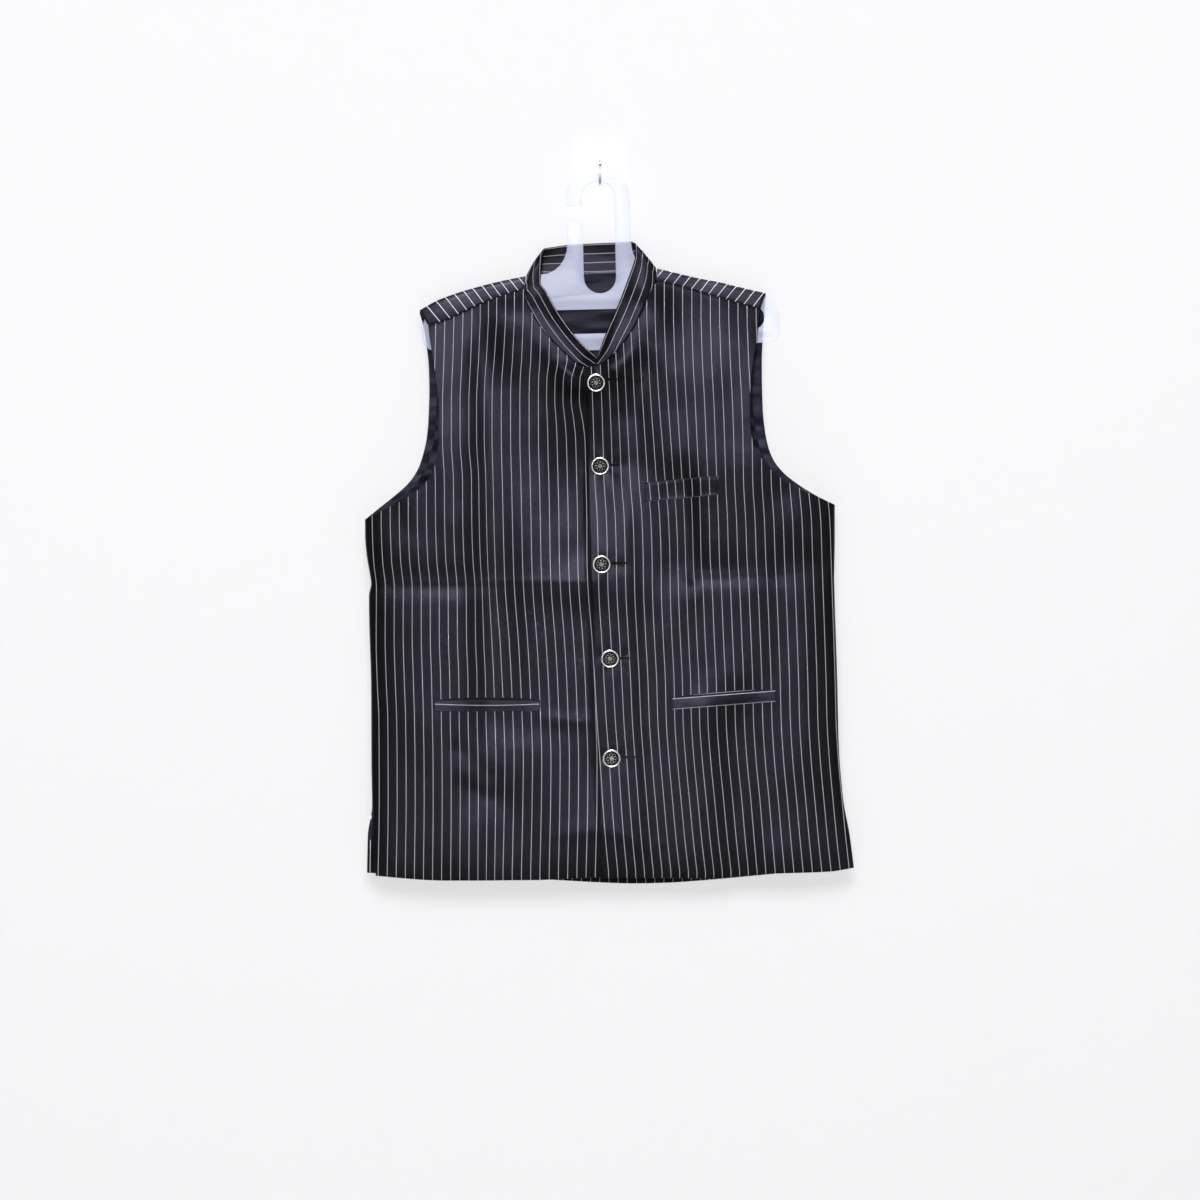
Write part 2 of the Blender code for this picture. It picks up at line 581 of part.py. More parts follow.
def build_lining(points, rows):
    """Inside of the back, a column in from its edges, from below the ridge to above the hem."""
    first_row = 1
    last_row = rows - 1 - LINING_HEM_ROWS
    columns = BACK_COLUMNS - 2
    body = points[:rows * BACK_COLUMNS]
    normals = sheet_normals(body, grid_quads(rows, BACK_COLUMNS))
    kept = []
    for r in range(first_row, last_row + 1):
        for c in range(1, BACK_COLUMNS - 1):
            index = r * BACK_COLUMNS + c
            kept.append(body[index] - normals[index] * (BACK_WALL + SEAM_GAP))
    row_count = last_row - first_row + 1
    return wall("back_lining", kept, grid_quads(row_count, columns), LINING_WALL, NAVY_LINING)


def collar_stations():
    """Foot, top and facing of the band at each station, from its right end to its left end."""
    right = [(row.inner_x, row.inner_z, *top) for row, top in zip(FRONT_RIGHT_ROWS, COLLAR_RIGHT_TOPS)]
    left = [(row.inner_x, row.inner_z, *top) for row, top in zip(FRONT_LEFT_ROWS, COLLAR_LEFT_TOPS)]
    right = [front_station(-1, *place) for place in right + COLLAR_RIGHT_END]
    left = [front_station(1, *place) for place in left + COLLAR_LEFT_END]
    return right[::-1] + COLLAR_BACK + left


def front_station(side, x, z, top_x, top_z):
    """Station on a front: the foot at the panel's neckline, the top leaning back to the hanger."""
    foot = Vector((x, z))
    foot += (Vector((top_x, top_z)) - foot).normalized() * COLLAR_STAND
    y = min(front_y(x, z) + closure_shift(side, x, z), COLLAR_FOOT_Y)
    top_y = min(y + COLLAR_LEAN, COLLAR_TOP_Y)
    return Station(foot.x, y, foot.y, top_x, top_y, top_z, 0.0, -1.0)


def build_collar():
    points, turned = [], {}
    stations = collar_stations()
    for s in stations:
        foot = Vector((s.foot_x, s.foot_y, s.foot_z))
        top = Vector((s.top_x, s.top_y, s.top_z))
        facing = Vector((s.face_x, s.face_y, 0)).normalized()
        for f in (0.0, 0.5, 1.0):
            bow = facing * COLLAR_BOW * math.sin(math.pi * f)
            turned[len(points)] = facing
            points.append(foot.lerp(top, f) + bow)
    return wall("collar", points, grid_quads(len(stations), 3), COLLAR_WALL, SUITING, turned)


# ---------------------------------------------------------------- what lies on the fronts
def surface_of(obj):
    mesh = obj.data
    return BVHTree.FromPolygons([v.co for v in mesh.vertices], [list(p.vertices) for p in mesh.polygons])


def height_at(surface, x, z):
    """Foremost y of a front at a point."""
    hit = surface.ray_cast(Vector((x, -0.2, z)), Vector((0, 1, 0)))
    return hit[0].y


def build_welt(welt, surface):
    """A strip of the panel's own surface, moved out, along the pocket mouth."""
    across, down = 13, 3
    points = []
    for r in range(down):
        for c in range(across):
            f = c / (across - 1)
            x = welt.inner_x + (welt.outer_x - welt.inner_x) * f
            x += welt.lean * r / (down - 1)
            z = welt.inner_top + (welt.outer_top - welt.inner_top) * f - welt.height * r / (down - 1)
            y = height_at(surface, x, z) - 2 * SEAM_GAP - WELT_WALL
            points.append(Vector((x, y, z)))
    turned = {index: Vector((0, -1, 0)) for index in range(len(points))}
    quads = grid_quads(down, across, flip=True)
    return wall(welt.name, points, quads, WELT_WALL, SUITING, turned)


def turned_solid(name, profile, centre, closed_ring, finish):
    """Spin a profile of (radius, forward) about the Y axis through centre."""
    vertices, faces = [], []
    ring = [p for p in profile if p[0] > 0]
    for k in range(BUTTON_SEGMENTS):
        angle = 2 * math.pi * k / BUTTON_SEGMENTS
        for radius, forward in ring:
            vertices.append(centre + Vector((radius * math.cos(angle), -forward, radius * math.sin(angle))))
    count = len(ring)
    spans = range(count) if closed_ring else range(count - 1)
    for k in range(BUTTON_SEGMENTS):
        here, there = k * count, (k + 1) % BUTTON_SEGMENTS * count
        for j in spans:
            n = (j + 1) % count
            faces.append([here + j, there + j, there + n, here + n])
    if not closed_ring:
        for radius, forward, edge in ((*profile[0], 0), (*profile[-1], count - 1)):
            pole = len(vertices)
            vertices.append(centre + Vector((0, -forward, 0)))
            for k in range(BUTTON_SEGMENTS):
                a, b = k * count + edge, (k + 1) % BUTTON_SEGMENTS * count + edge
                faces.append([b, a, pole] if edge == 0 else [a, b, pole])
    return new_object(name, vertices, faces, finish)


def build_button(number, button, surface):
    """A metal rim round a dark domed core, seated on the left front."""
    seats = []
    for reach in (0.0, 0.5 * BUTTON_RADIUS, BUTTON_RADIUS):
        for k in range(12):
            angle = math.pi * k / 6
            seats.append(height_at(surface, button.x + reach * math.cos(angle), button.z + reach * math.sin(angle)))
    centre = Vector((button.x, min(seats) - SEAM_GAP, button.z))
    rim = [(BUTTON_BORE, 0.0), (BUTTON_RADIUS - 0.0008, 0.0), (BUTTON_RADIUS, 0.0012),
           (BUTTON_RADIUS - 0.0005, 0.0028), (BUTTON_RADIUS - 0.0014, BUTTON_HEIGHT), (BUTTON_BORE, 0.0026)]
    turned_solid(f"button_rim_{number}", rim, centre, True, SILVER)
    core_radius = BUTTON_BORE - SEAM_GAP
    core = [(0, 0.0), (core_radius, 0.0), (core_radius, 0.0018), (0.6 * core_radius, 0.0026), (0, 0.0030)]
    turned_solid(f"button_core_{number}", core, centre, False, DARK_DOME)


def build_size_label(surface):
    """Plain woven tab under the collar seam, on the inside of the back."""
    x, z = LABEL_PLACE
    seats = [surface.ray_cast(Vector((x + dx, HANG_PLANE, z + dz)), Vector((0, 1, 0)))[0].y
             for dx in (-0.5 * LABEL_WIDTH, 0, 0.5 * LABEL_WIDTH)
             for dz in (-0.5 * LABEL_HEIGHT, 0, 0.5 * LABEL_HEIGHT)]
    y = min(seats) - SEAM_GAP - 0.5 * LABEL_WALL
    bpy.ops.mesh.primitive_cube_add(size=1, location=(x, y, z))
    label = bpy.context.object
    label.name = label.data.name = "size_label"
    label.scale = (LABEL_WIDTH, LABEL_WALL, LABEL_HEIGHT)
    bpy.ops.object.transform_apply(location=True, rotation=True, scale=True)
    label.data.materials.append(material("size_label", WHITE_TAPE))


# ---------------------------------------------------------------- hanger and wall hook
WIRE_STEM = [(-0.0067, 0.0012), (-0.0120, 0.0007), (-0.0168, -0.0026), (-0.0190, -0.0085), (-0.0195, -0.0150)]
WIRE_BEND, WIRE_BEND_Z, WIRE_TIP_Z = 0.0055, -0.0212, -0.0136
LOOP_TOP_Z = -0.0048
LOOP_OUTER, LOOP_INNER = 0.0384, 0.0192
LOOP_CENTRE_Z = LOOP_TOP_Z - LOOP_OUTER
FLARE_TOP_Z, FLARE_FOOT_X, FLARE_FOOT_Z = -0.0984, 0.0702, -0.1340
GAP_TOP_Z, GAP_BOTTOM_Z = -0.0528, -0.0732
SLOT_FOOT_Z = -0.1392
ARM_END_X, ARM_SLOPE = 0.2142, 0.2460
BAR_TOP_Z, PLATE_FOOT_Z, SLOT_END_X = -0.2064, -0.1776, 0.1962
BAR_END_Z, BAR_MIDDLE_Z = -0.2226, -0.2268
SHOULDER_ROUND, TOE_ROUND = 0.034, 0.014
HANGER_CENTRE = Vector((-0.0012, 0, -0.0912))


def arc(centre_x, centre_z, radius_x, radius_z, start, end, steps):
    """Points of an ellipse arc, angles in degrees from +X toward +Z."""
    angles = [math.radians(start + (end - start) * k / steps) for k in range(steps + 1)]
    return [(centre_x + radius_x * math.cos(a), centre_z + radius_z * math.sin(a)) for a in angles]


def hanger_arm():
    """Outline of the right-hand half below the neck, from the flare to the bar's middle."""
    end_z = FLARE_FOOT_Z - (ARM_END_X - FLARE_FOOT_X) * ARM_SLOPE
    slope = math.degrees(math.atan(ARM_SLOPE))
    flare = arc(FLARE_FOOT_X, FLARE_TOP_Z, FLARE_FOOT_X - LOOP_OUTER, FLARE_TOP_Z - FLARE_FOOT_Z, 180, 270, 6)
    r = SHOULDER_ROUND
    centre_x = ARM_END_X - r
    centre_z = end_z + r * ARM_SLOPE - r / math.cos(math.radians(slope))
    cap = arc(centre_x, centre_z, r, r, 90 - slope, 0, 6)
    toe = arc(ARM_END_X - TOE_ROUND, BAR_END_Z + TOE_ROUND, TOE_ROUND, TOE_ROUND, 0, -80, 4)
    belly = [(x, BAR_MIDDLE_Z + (BAR_END_Z - BAR_MIDDLE_Z) * (x / 0.2) ** 2) for x in (0.150, 0.100, 0.050)]
    return flare + cap + toe + belly


def hanger_outline():
    half = hanger_arm()
    top = arc(0, LOOP_CENTRE_Z, LOOP_OUTER, LOOP_OUTER, 180, 0, 14)
    mirrored = [(-x, z) for x, z in reversed(half)]
    slot_foot = arc(0, SLOT_FOOT_Z, LOOP_INNER, LOOP_INNER, 180, 360, 10)
    slot_top = arc(0, LOOP_CENTRE_Z, LOOP_INNER, LOOP_INNER, 0, 180, 10)
    gap_top = [(-LOOP_INNER, GAP_TOP_Z), (-LOOP_OUTER, GAP_TOP_Z)]
    gap_foot = [(-LOOP_OUTER, GAP_BOTTOM_Z), (-LOOP_INNER, GAP_BOTTOM_Z)]
    return gap_top[1:] + top + half + [(0.0, BAR_MIDDLE_Z)] + mirrored + gap_foot + slot_foot + slot_top + gap_top[:1]


def bar_slot():
    z = 0.5 * (BAR_TOP_Z + PLATE_FOOT_Z)
    r = 0.5 * (PLATE_FOOT_Z - BAR_TOP_Z)
    x = SLOT_END_X - r
    return arc(x, z, r, r, -90, 90, 8) + arc(-x, z, r, r, 90, 270, 8)


def build_hanger():
    bm = bmesh.new()
    edges = []
    for loop in (hanger_outline(), bar_slot()):
        ring = []
        for x, z in loop:
            dx, dz = x, z - HANGER_CENTRE.z
            turned_x = dx * math.cos(HANGER_TILT) - dz * math.sin(HANGER_TILT)
            turned_z = dx * math.sin(HANGER_TILT) + dz * math.cos(HANGER_TILT)
            y = HANG_PLANE - 0.5 * HANGER_THICKNESS
            ring.append(bm.verts.new((HANGER_CENTRE.x + turned_x, y, HANGER_CENTRE.z + turned_z)))
        edges += [bm.edges.new((a, b)) for a, b in zip(ring, ring[1:] + ring[:1])]
    bmesh.ops.triangle_fill(bm, use_beauty=True, use_dissolve=False, edges=edges)
    grown = bmesh.ops.extrude_face_region(bm, geom=bm.faces[:])
    moved = [g for g in grown["geom"] if isinstance(g, bmesh.types.BMVert)]
    bmesh.ops.translate(bm, verts=moved, vec=(0, HANGER_THICKNESS, 0))
    bmesh.ops.recalc_face_normals(bm, faces=bm.faces[:])
    mesh = bpy.data.meshes.new("hanger")
    bm.to_mesh(mesh)
    bm.free()
    mesh.materials.append(material("hanger", FROSTED))
    obj = bpy.data.objects.new("hanger", mesh)
    bpy.context.scene.collection.objects.link(obj)


def build_hook_plate():
    """Square plate stuck to the wall, its back face on the wall plane, and its round boss."""
    bpy.ops.mesh.primitive_cube_add(size=1, location=(0, -0.5 * HOOK_PLATE_THICKNESS, 0))
    plate = bpy.context.object
    plate.name = plate.data.name = "hook_plate"
    plate.scale = (HOOK_PLATE_SIZE, HOOK_PLATE_THICKNESS, HOOK_PLATE_SIZE)
    bpy.ops.object.transform_apply(location=True, rotation=True, scale=True)
    bm = bmesh.new()
    bm.from_mesh(plate.data)
    corners = [e for e in bm.edges if abs(e.verts[0].co.y - e.verts[1].co.y) > 0.5 * HOOK_PLATE_THICKNESS]
    bmesh.ops.bevel(bm, geom=corners, offset=0.006, segments=4, profile=0.5, affect="EDGES")
    bm.to_mesh(plate.data)
    bm.free()
    plate.data.materials.append(material("hook_plate", CLEAR))
    boss_y = -HOOK_PLATE_THICKNESS - SEAM_GAP
    boss_height = 0.0045
    boss = [(0, 0.0), (0.0070, 0.0), (0.0070, boss_height - 0.001), (0.0060, boss_height), (0, boss_height)]
    turned_solid("hook_boss", boss, Vector((0, boss_y, 0.0012)), False, CLEAR)


def build_hook_wire():
    """Wire J that leaves the boss, passes under the loop of the hanger and turns up in front."""
    path = [Vector((0, y, z)) for y, z in WIRE_STEM]
    for k in range(9):
        angle = math.pi * k / 8
        y = HANG_PLANE + WIRE_BEND * math.cos(angle)
        path.append(Vector((0, y, WIRE_BEND_Z - WIRE_BEND * math.sin(angle))))
    path.append(Vector((0, HANG_PLANE - WIRE_BEND, WIRE_TIP_Z)))
    curve = bpy.data.curves.new("hook_wire", "CURVE")
    curve.dimensions = "3D"
    curve.bevel_depth = WIRE_RADIUS
    curve.bevel_resolution = 2
    curve.use_fill_caps = True
    spline = curve.splines.new("POLY")
    spline.points.add(len(path) - 1)
    for point, place in zip(spline.points, path):
        point.co = (*place, 1.0)
    curve.materials.append(material("hook_wire", SILVER))
    obj = bpy.data.objects.new("hook_wire", curve)
    bpy.context.scene.collection.objects.link(obj)


# ---------------------------------------------------------------- the whole
def main():
    for obj in list(bpy.data.objects):
        bpy.data.objects.remove(obj, do_unlink=True)
    right = build_front(FRONT_RIGHT_ROWS, SHOULDER_RIGHT, -1)
    left = build_front(FRONT_LEFT_ROWS, SHOULDER_LEFT, 1)
    back, back_grid, back_row_count = build_back()
    build_lining(back_grid, back_row_count)
    build_collar()
    surfaces = {-1: surface_of(right), 1: surface_of(left)}
    for welt in WELTS:
        build_welt(welt, surfaces[-1 if welt.inner_x < 0 else 1])
    for number, button in enumerate(BUTTONS, start=1):
        build_button(number, button, surfaces[1])
    build_size_label(surface_of(back))
    build_hanger()
    build_hook_plate()
    build_hook_wire()


main()
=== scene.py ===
"""Dresses the sleeveless band-collar jacket, its hanger and its wall hook.

Laid out as an add-on: settings, finishes, one operator for each group of pieces and one
for the stage. Metres, +X to the wearer's left, the wall at y = 0, +Z up; the tables are
in millimetres.
"""

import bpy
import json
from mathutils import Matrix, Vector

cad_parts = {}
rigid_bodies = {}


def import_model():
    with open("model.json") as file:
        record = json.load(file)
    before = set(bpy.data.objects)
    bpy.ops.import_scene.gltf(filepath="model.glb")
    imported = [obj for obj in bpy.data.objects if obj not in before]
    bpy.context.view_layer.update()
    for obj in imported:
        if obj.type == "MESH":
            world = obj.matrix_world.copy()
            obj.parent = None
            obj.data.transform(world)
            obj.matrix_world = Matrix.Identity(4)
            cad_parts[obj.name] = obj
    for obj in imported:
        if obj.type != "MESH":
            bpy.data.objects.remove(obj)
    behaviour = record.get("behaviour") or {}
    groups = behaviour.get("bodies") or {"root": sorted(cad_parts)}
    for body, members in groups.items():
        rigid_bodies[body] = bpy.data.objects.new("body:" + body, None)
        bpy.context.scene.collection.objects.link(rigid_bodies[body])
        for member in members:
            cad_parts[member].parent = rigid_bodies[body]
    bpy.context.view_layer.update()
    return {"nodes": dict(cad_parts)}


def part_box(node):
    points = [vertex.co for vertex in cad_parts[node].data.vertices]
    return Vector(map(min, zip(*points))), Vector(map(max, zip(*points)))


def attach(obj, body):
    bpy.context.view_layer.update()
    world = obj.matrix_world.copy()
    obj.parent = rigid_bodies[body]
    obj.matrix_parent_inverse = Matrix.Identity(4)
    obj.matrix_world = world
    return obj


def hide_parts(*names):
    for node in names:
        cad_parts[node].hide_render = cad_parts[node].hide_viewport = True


bl_info = {
    "name": "Pinstripe jacket on a hanger",
    "version": (1, 0, 0),
    "blender": (4, 5, 0),
    "location": "3D View > Sidebar > Jacket",
    "description": "Cloth, buttons, hanger and hook of a hanging jacket",
    "category": "Object",
}

import json
import math
from collections import namedtuple

import bpy
import numpy as np
from mathutils import Vector

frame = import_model()

# ------------------------------------------------------------------ sizes of the cut
MM = 0.001
HANG_PLANE = -0.0250       # y of the hanger's middle and of the side seams
RIDGE_RADIUS = 0.0038      # cloth folded over the hanger
HEM_Z = -0.8604
SLIT_TOP_Z, SLIT_BLEND, SLIT_SPREAD, SLIT_TURN = -0.7776, 0.040, 0.03, 0.9
SIDE_ROUNDNESS, YOKE_ROUNDNESS = 6.0, 2.8
FRONT_WALL, BACK_WALL, LINING_WALL, COLLAR_WALL, WELT_WALL = 0.0018, 0.0014, 0.0008, 0.0023, 0.0015
SEAM_GAP = 0.0003
LAP_WIDTH, LAP_TOP_Z, LAP_HALF, LAP_EASE = 0.042, -0.246, 0.0016, 0.020
FORWARD = (0.0, -1.0, 0.0)

# how finely the cloth is laid out
UPPER_ROWS, SKIRT_ROWS, FRONT_COLUMNS = 92, 118, 124
BACK_UPPER_ROWS, SHOULDER_COLUMNS, NECK_COLUMNS = 84, 31, 25
RIDGE_ROWS, YOKE_ROWS = 6, 14
COLLAR_STEPS, COLLAR_ROWS = 6, 15
WELT_COLUMNS = 56


def table(fields, *rows, plain=0):
    """Rows of named sizes, given in millimetres but for their last plain columns."""
    kind = namedtuple("Sizes", fields)
    cut = len(kind._fields) - plain
    return [kind(*(round(size * MM, 7) for size in row[:cut]), *row[cut:]) for row in rows]


SHOULDER = "ridge_x ridge_z seam_x seam_z"
SHOULDER_RIGHT = table(
    SHOULDER,
    (-89.5, -137.8, -91.4, -153.1), (-119, -143.7, -114, -160.1), (-148, -151, -140, -169.7),
    (-174, -158.8, -165.5, -181.5), (-196, -167.2, -187, -191.2),
    (-216.7, -178.8, -206.4, -196.8))
SHOULDER_LEFT = table(
    SHOULDER,
    (68.5, -128.4, 68.9, -142.6), (93, -134.2, 92.5, -148.5), (118, -140.2, 117, -155.6),
    (144, -145, 143, -163.1), (170, -151.5, 168, -170.3), (199, -157.9, 192.4, -177))
ROW = "inner_x inner_z outer_x outer_z"
FRONT_RIGHT_ROWS = table(
    ROW,
    (-91.4, -153.1, -206.4, -196.8), (-88.8, -164.4, -204.5, -212.4), (-81.6, -181.2, -201, -234),
    (-70.8, -199.2, -198, -253.2), (-55.8, -217.6, -195.6, -272.4), (-41.2, -231.4, -194, -286.8),
    (-26.8, -243.6, -193.6, -300), (-9.6, -251, -193.6, -310.8), (13, -260.4, -193.7, -322.8),
    (26, -277.2, -194.2, -338), (30, -306, -195.8, -353.2), (29.4, -339, -199, -369),
    (28.8, -364, -208, -384), (28.8, -383, -220, -396), (28.8, -399, -238, -408),
    (29, -415, -261, -419), (29.2, -430.4, -282.7, -430.4))
FRONT_LEFT_ROWS = table(
    ROW,
    (68.9, -142.6, 192.4, -177), (60.6, -157.2, 190, -195.6), (51, -178.8, 187.2, -219.6),
    (40.8, -199.2, 183.8, -241.2), (29.4, -216.8, 181.2, -264), (18, -230.3, 180.1, -279.6),
    (0.4, -244.2, 180, -291.6), (-20.4, -249.6, 180, -303), (-19, -265, 180.5, -315.6),
    (-15, -285, 182, -331), (-12.2, -309, 186, -345), (-12.6, -333, 193.5, -357),
    (-13.2, -354, 205, -370.5), (-13.2, -372, 217, -381), (-13.2, -387, 236, -391.2),
    (-13.1, -400, 259, -402), (-12.8, -412.3, 282.2, -412.3))
BACK_ROWS = table(
    ROW,
    (-216.7, -183, 199, -162.1), (-211.8, -200, 197.4, -185), (-208.2, -223, 195.6, -213),
    (-205.8, -248.4, 194.6, -242.4), (-205.2, -274, 194.9, -272.4), (-206, -302, 195.8, -299),
    (-208, -329, 198.5, -324), (-212.4, -350.4, 202.5, -343), (-219, -369.6, 209, -359),
    (-230.4, -386.4, 220, -373), (-244.8, -399.6, 236, -386), (-264, -415, 258, -400),
    (-282.7, -430.4, 282.2, -412.3))
SIDES = table(
    "z front_right front_left back_right back_left closure",
    (-400, -282.7, 282.2, -282.7, 282.2, -13.2), (-450, -282.4, 282.2, -282.4, 282.2, -12),
    (-474, -280.4, 281.9, -280.4, 281.9, -11), (-493.2, -277.2, 281.6, -277.2, 281.6, -10.2),
    (-507.6, -275.2, 281.2, -275.2, 281.2, -9.4), (-523.2, -277.9, 281.7, -277.9, 281.7, -8.4),
    (-554.4, -277.4, 282.5, -277.4, 282.5, -7.8), (-633.6, -275.2, 285.1, -275.2, 285.1, -6.2),
    (-721.2, -274.8, 287.4, -274.8, 287.4, -1.8), (-777.6, -273.6, 292.8, -274, 292, 0.4),
    (-814.8, -271.4, 299.4, -279.1, 295.2, 1.6), (-870, -269, 306.2, -280.2, 300, 3))
HEM = table(
    "x front_z back_z",
    (-282, -857, -854.4), (-184, -863.6, -860), (-80, -863, -862.2), (0, -859.8, -866.4),
    (40, -860.1, -867.7), (80, -860.5, -866.8), (139, -860.8, -862.6), (199, -855.7, -857),
    (276, -852.8, -850), (307, -847.8, -848))
DEPTHS = table(
    "drop front back",
    (0, 3.8, 3.6), (15, 4.6, 4.8), (35, 7.4, 6.6), (70, 11.2, 8.8), (120, 14.2, 11),
    (200, 17.2, 13.8), (300, 18.2, 14.8), (400, 16.8, 14.2), (560, 16.6, 13.6), (740, 15, 11.8))
# a fold runs from its start to its end; its left spread is on the left hand going that way
FOLD = "x0 z0 x1 z1 height left_spread right_spread"
FRONT_FOLDS = table(
    FOLD,
    (-270, -507.6, -140, -509, -2.1, 24, 14),           # packing crease, in four parts
    (-112, -508, 22, -505, 0.6, 12, 22),
    (112, -496, 190, -493.8, -2.3, 24, 14),
    (200, -493.6, 276, -491.2, -3.4, 36, 13),
    (-92, -170, -6, -264, 4.2, 12, 34),                 # fullness round the neck
    (62, -160, 2, -264, 4.2, 32, 12),
    (-74, -215, -40, -257, 1.6, 20, 12),                # folds round the neck
    (-40, -257, -12, -269, 2.2, 12, 20),
    (48, -222, 10, -258, 3, 12, 14),
    (56, -240, 26, -320, -1.6, 22, 14),
    (-133, -210, -127, -700, -5.7, 40, 25),             # upright press line on the right front
    (-129, -700, -122, -850, -3, 44, 24),
    (98, -370, 108, -504, -5, 16, 36),                  # drag lines on the left front
    (166, -640, 171, -890, -6, 26, 30),
    (176, -200, 184, -400, 5, 30, 80),                  # fullness over the chest
    (60, -170, 100, -280, 2.6, 34, 26),
    (-116, -170, -108, -250, 3, 26, 22),
    (2, -760, 12, -830, 3, 50, 40),                     # fullness at the foot of the closure
    (-130, -700, -50, -720, 1, 20, 40),                 # fullness under the pockets
    (-170, -756, -110, -770, -1.5, 18, 24),
    (108, -656, 180, -650, 2, 14, 30),
    (-270, -884, 300, -880, -5, 30, 30),                # hem turning in
    (-260, -410, -230, -450, -1.8, 20, 24),             # sides, under the armholes and lower
    (256, -515, 264, -740, 3.4, 20, 40),
    (236, -410, 262, -470, 3, 22, 22))
FRONT_SWELLS = table(
    "x z height half_width above below",
    (-12, -356, -11.8, 58, 74, 90),                     # hollow below the top button
    (-36, -270, 5, 26, 24, 12),                         # cloth gathered beside the top button
    (-24, -507.5, 3.4, 36, 30, 26))                     # belly above the packing crease
BACK_FOLDS = table(
    FOLD,
    (-262, -506, 262, -496, 2.6, 18, 18),
    (-110, -230, -120, -820, 3, 30, 30),
    (120, -260, 128, -830, 3, 30, 30),
    (10, -540, 6, -830, -2.4, 40, 40))
# small creases that only the cloth shows
FRONT_CREASES = table(
    FOLD,
    (-272, -506, -6, -504, 0.5, 3, 2.2),                # pressed line of the packing crease
    (104, -497.5, 279, -490.5, 0.5, 3, 2.2),
    (-279, -478, -262, -506, 1.6, 6, 9),                # kink at the right side
    (-279, -536, -258, -511, 1.2, 9, 6),
    (108, -494, 115, -508, -1.4, 6, 6),                 # kink at the end of the crease
    (-174, -700.8, -126, -742.8, -1.2, 10, 10),         # drag lines under the right pocket
    (-178, -743, -132, -767, -1.1, 10, 10),
    (10, -803, 72, -827, 1, 12, 9),                     # flutes above the hem
    (4, -802, -48, -809, 1, 9, 12),
    (-66, -670, -2, -674, 0.8, 8, 8),
    (-60, -270, -26, -286, -1.2, 8, 8),                 # drag to the top button
    (-52, -244, -26, -260, 1.2, 6, 8),
    (12, -252, 48, -262, 0.8, 6, 6),
    (120, -520, 126, -620, -1.2, 12, 24),               # long soft folds down both fronts
    (-40, -375, -30, -460, 1.2, 20, 16),
    (40, -290, 52, -380, -1.2, 18, 24),
    (-190, -310, -176, -450, 1.4, 20, 24),
    (160, -230, 164, -350, -1.4, 22, 20),
    (-224, -540, -214, -690, 1.2, 22, 26),
    (214, -520, 222, -820, -1.5, 28, 24),
    (-218, -720, -222, -845, -1.4, 24, 20),
    (56, -530, 60, -840, -1.3, 22, 26))
BACK_CREASES = table(
    FOLD,
    (-270, -506, 270, -496, 0.5, 3, 2.2),
    (-80, -170, -130, -230, 1.4, 14, 20),
    (80, -170, 124, -226, 1.4, 20, 14),
    (-20, -180, -10, -460, -1.2, 40, 30),
    (-200, -540, -206, -830, -1.4, 24, 30),
    (62, -530, 56, -840, 1.2, 22, 18),
    (204, -360, 190, -470, -1.2, 16, 22),
    (-40, -600, -52, -830, 1.2, 18, 22))

# x of some stripes down each front, in stripe numbers counted from the right side seam
RIGHT_STRIPES = table(
    "z n1 n12 n15 n20 n25",
    (-191, -273, -153.7, -124, -70.9, -18), (-239, -273, -155.2, -127.1, -72.1, -18),
    (-263, -273, -156.4, -129, -73.6, -24.2), (-287, -273, -157.3, -129.6, -73.9, -24.8),
    (-311, -273, -157.3, -129.7, -73.8, -21), (-335, -273.5, -157.2, -129.6, -73.8, -18.1),
    (-383, -273.5, -154.1, -128.4, -72.6, -16.8), (-431, -273.5, -153.7, -127.4, -71.6, -15.8),
    (-479, -271.8, -152.3, -126.1, -70.8, -15.6), (-512, -268.4, -149.8, -124.8, -69.6, -14.4),
    (-575, -268.7, -149.2, -120.1, -64.8, -9.5), (-623, -267.5, -147.5, -117.5, -62, -6.7),
    (-671, -265.4, -147.4, -115.4, -60.2, -5), (-719, -265.1, -146.2, -114.1, -58.8, -3.6),
    (-767, -265, -146, -114.7, -59.2, -3.7), (-853, -266.3, -146.4, -116.4, -61, -5.6))
LEFT_STRIPES = table(
    "z n27 n34 n38 n43 n51",
    (-191, -3.6, 66.1, 110.2, 165.6, 253), (-239, 0, 68, 111.6, 167.3, 254.5),
    (-287, 2, 70.7, 114.1, 169.9, 257.4), (-335, 3.6, 74.4, 116.3, 171.4, 259.2),
    (-383, 4.8, 78.1, 118.6, 172, 260.6), (-431, 7.8, 82.3, 120.2, 174.6, 264.8),
    (-479, 8.9, 84, 121.2, 176.3, 266.5), (-512, 9.5, 84.2, 123.5, 178.4, 267.6),
    (-575, 13.1, 86.4, 126.1, 181.2, 269.8), (-623, 15.8, 88.8, 128.5, 183.1, 271.3),
    (-671, 18.4, 89.7, 129.4, 184.2, 272.4), (-719, 22, 92.8, 132.7, 187.2, 275.3),
    (-767, 25.1, 97.3, 137.5, 191.9, 279.7), (-815, 28.7, 101.8, 142.2, 195.8, 284.3),
    (-853, 32.3, 106.2, 146.8, 199, 288.6))
STRIPE_PITCH = 0.0110
SHOULDER_LEAN = 0.72       # how the stripes lean where the back comes over the shoulder

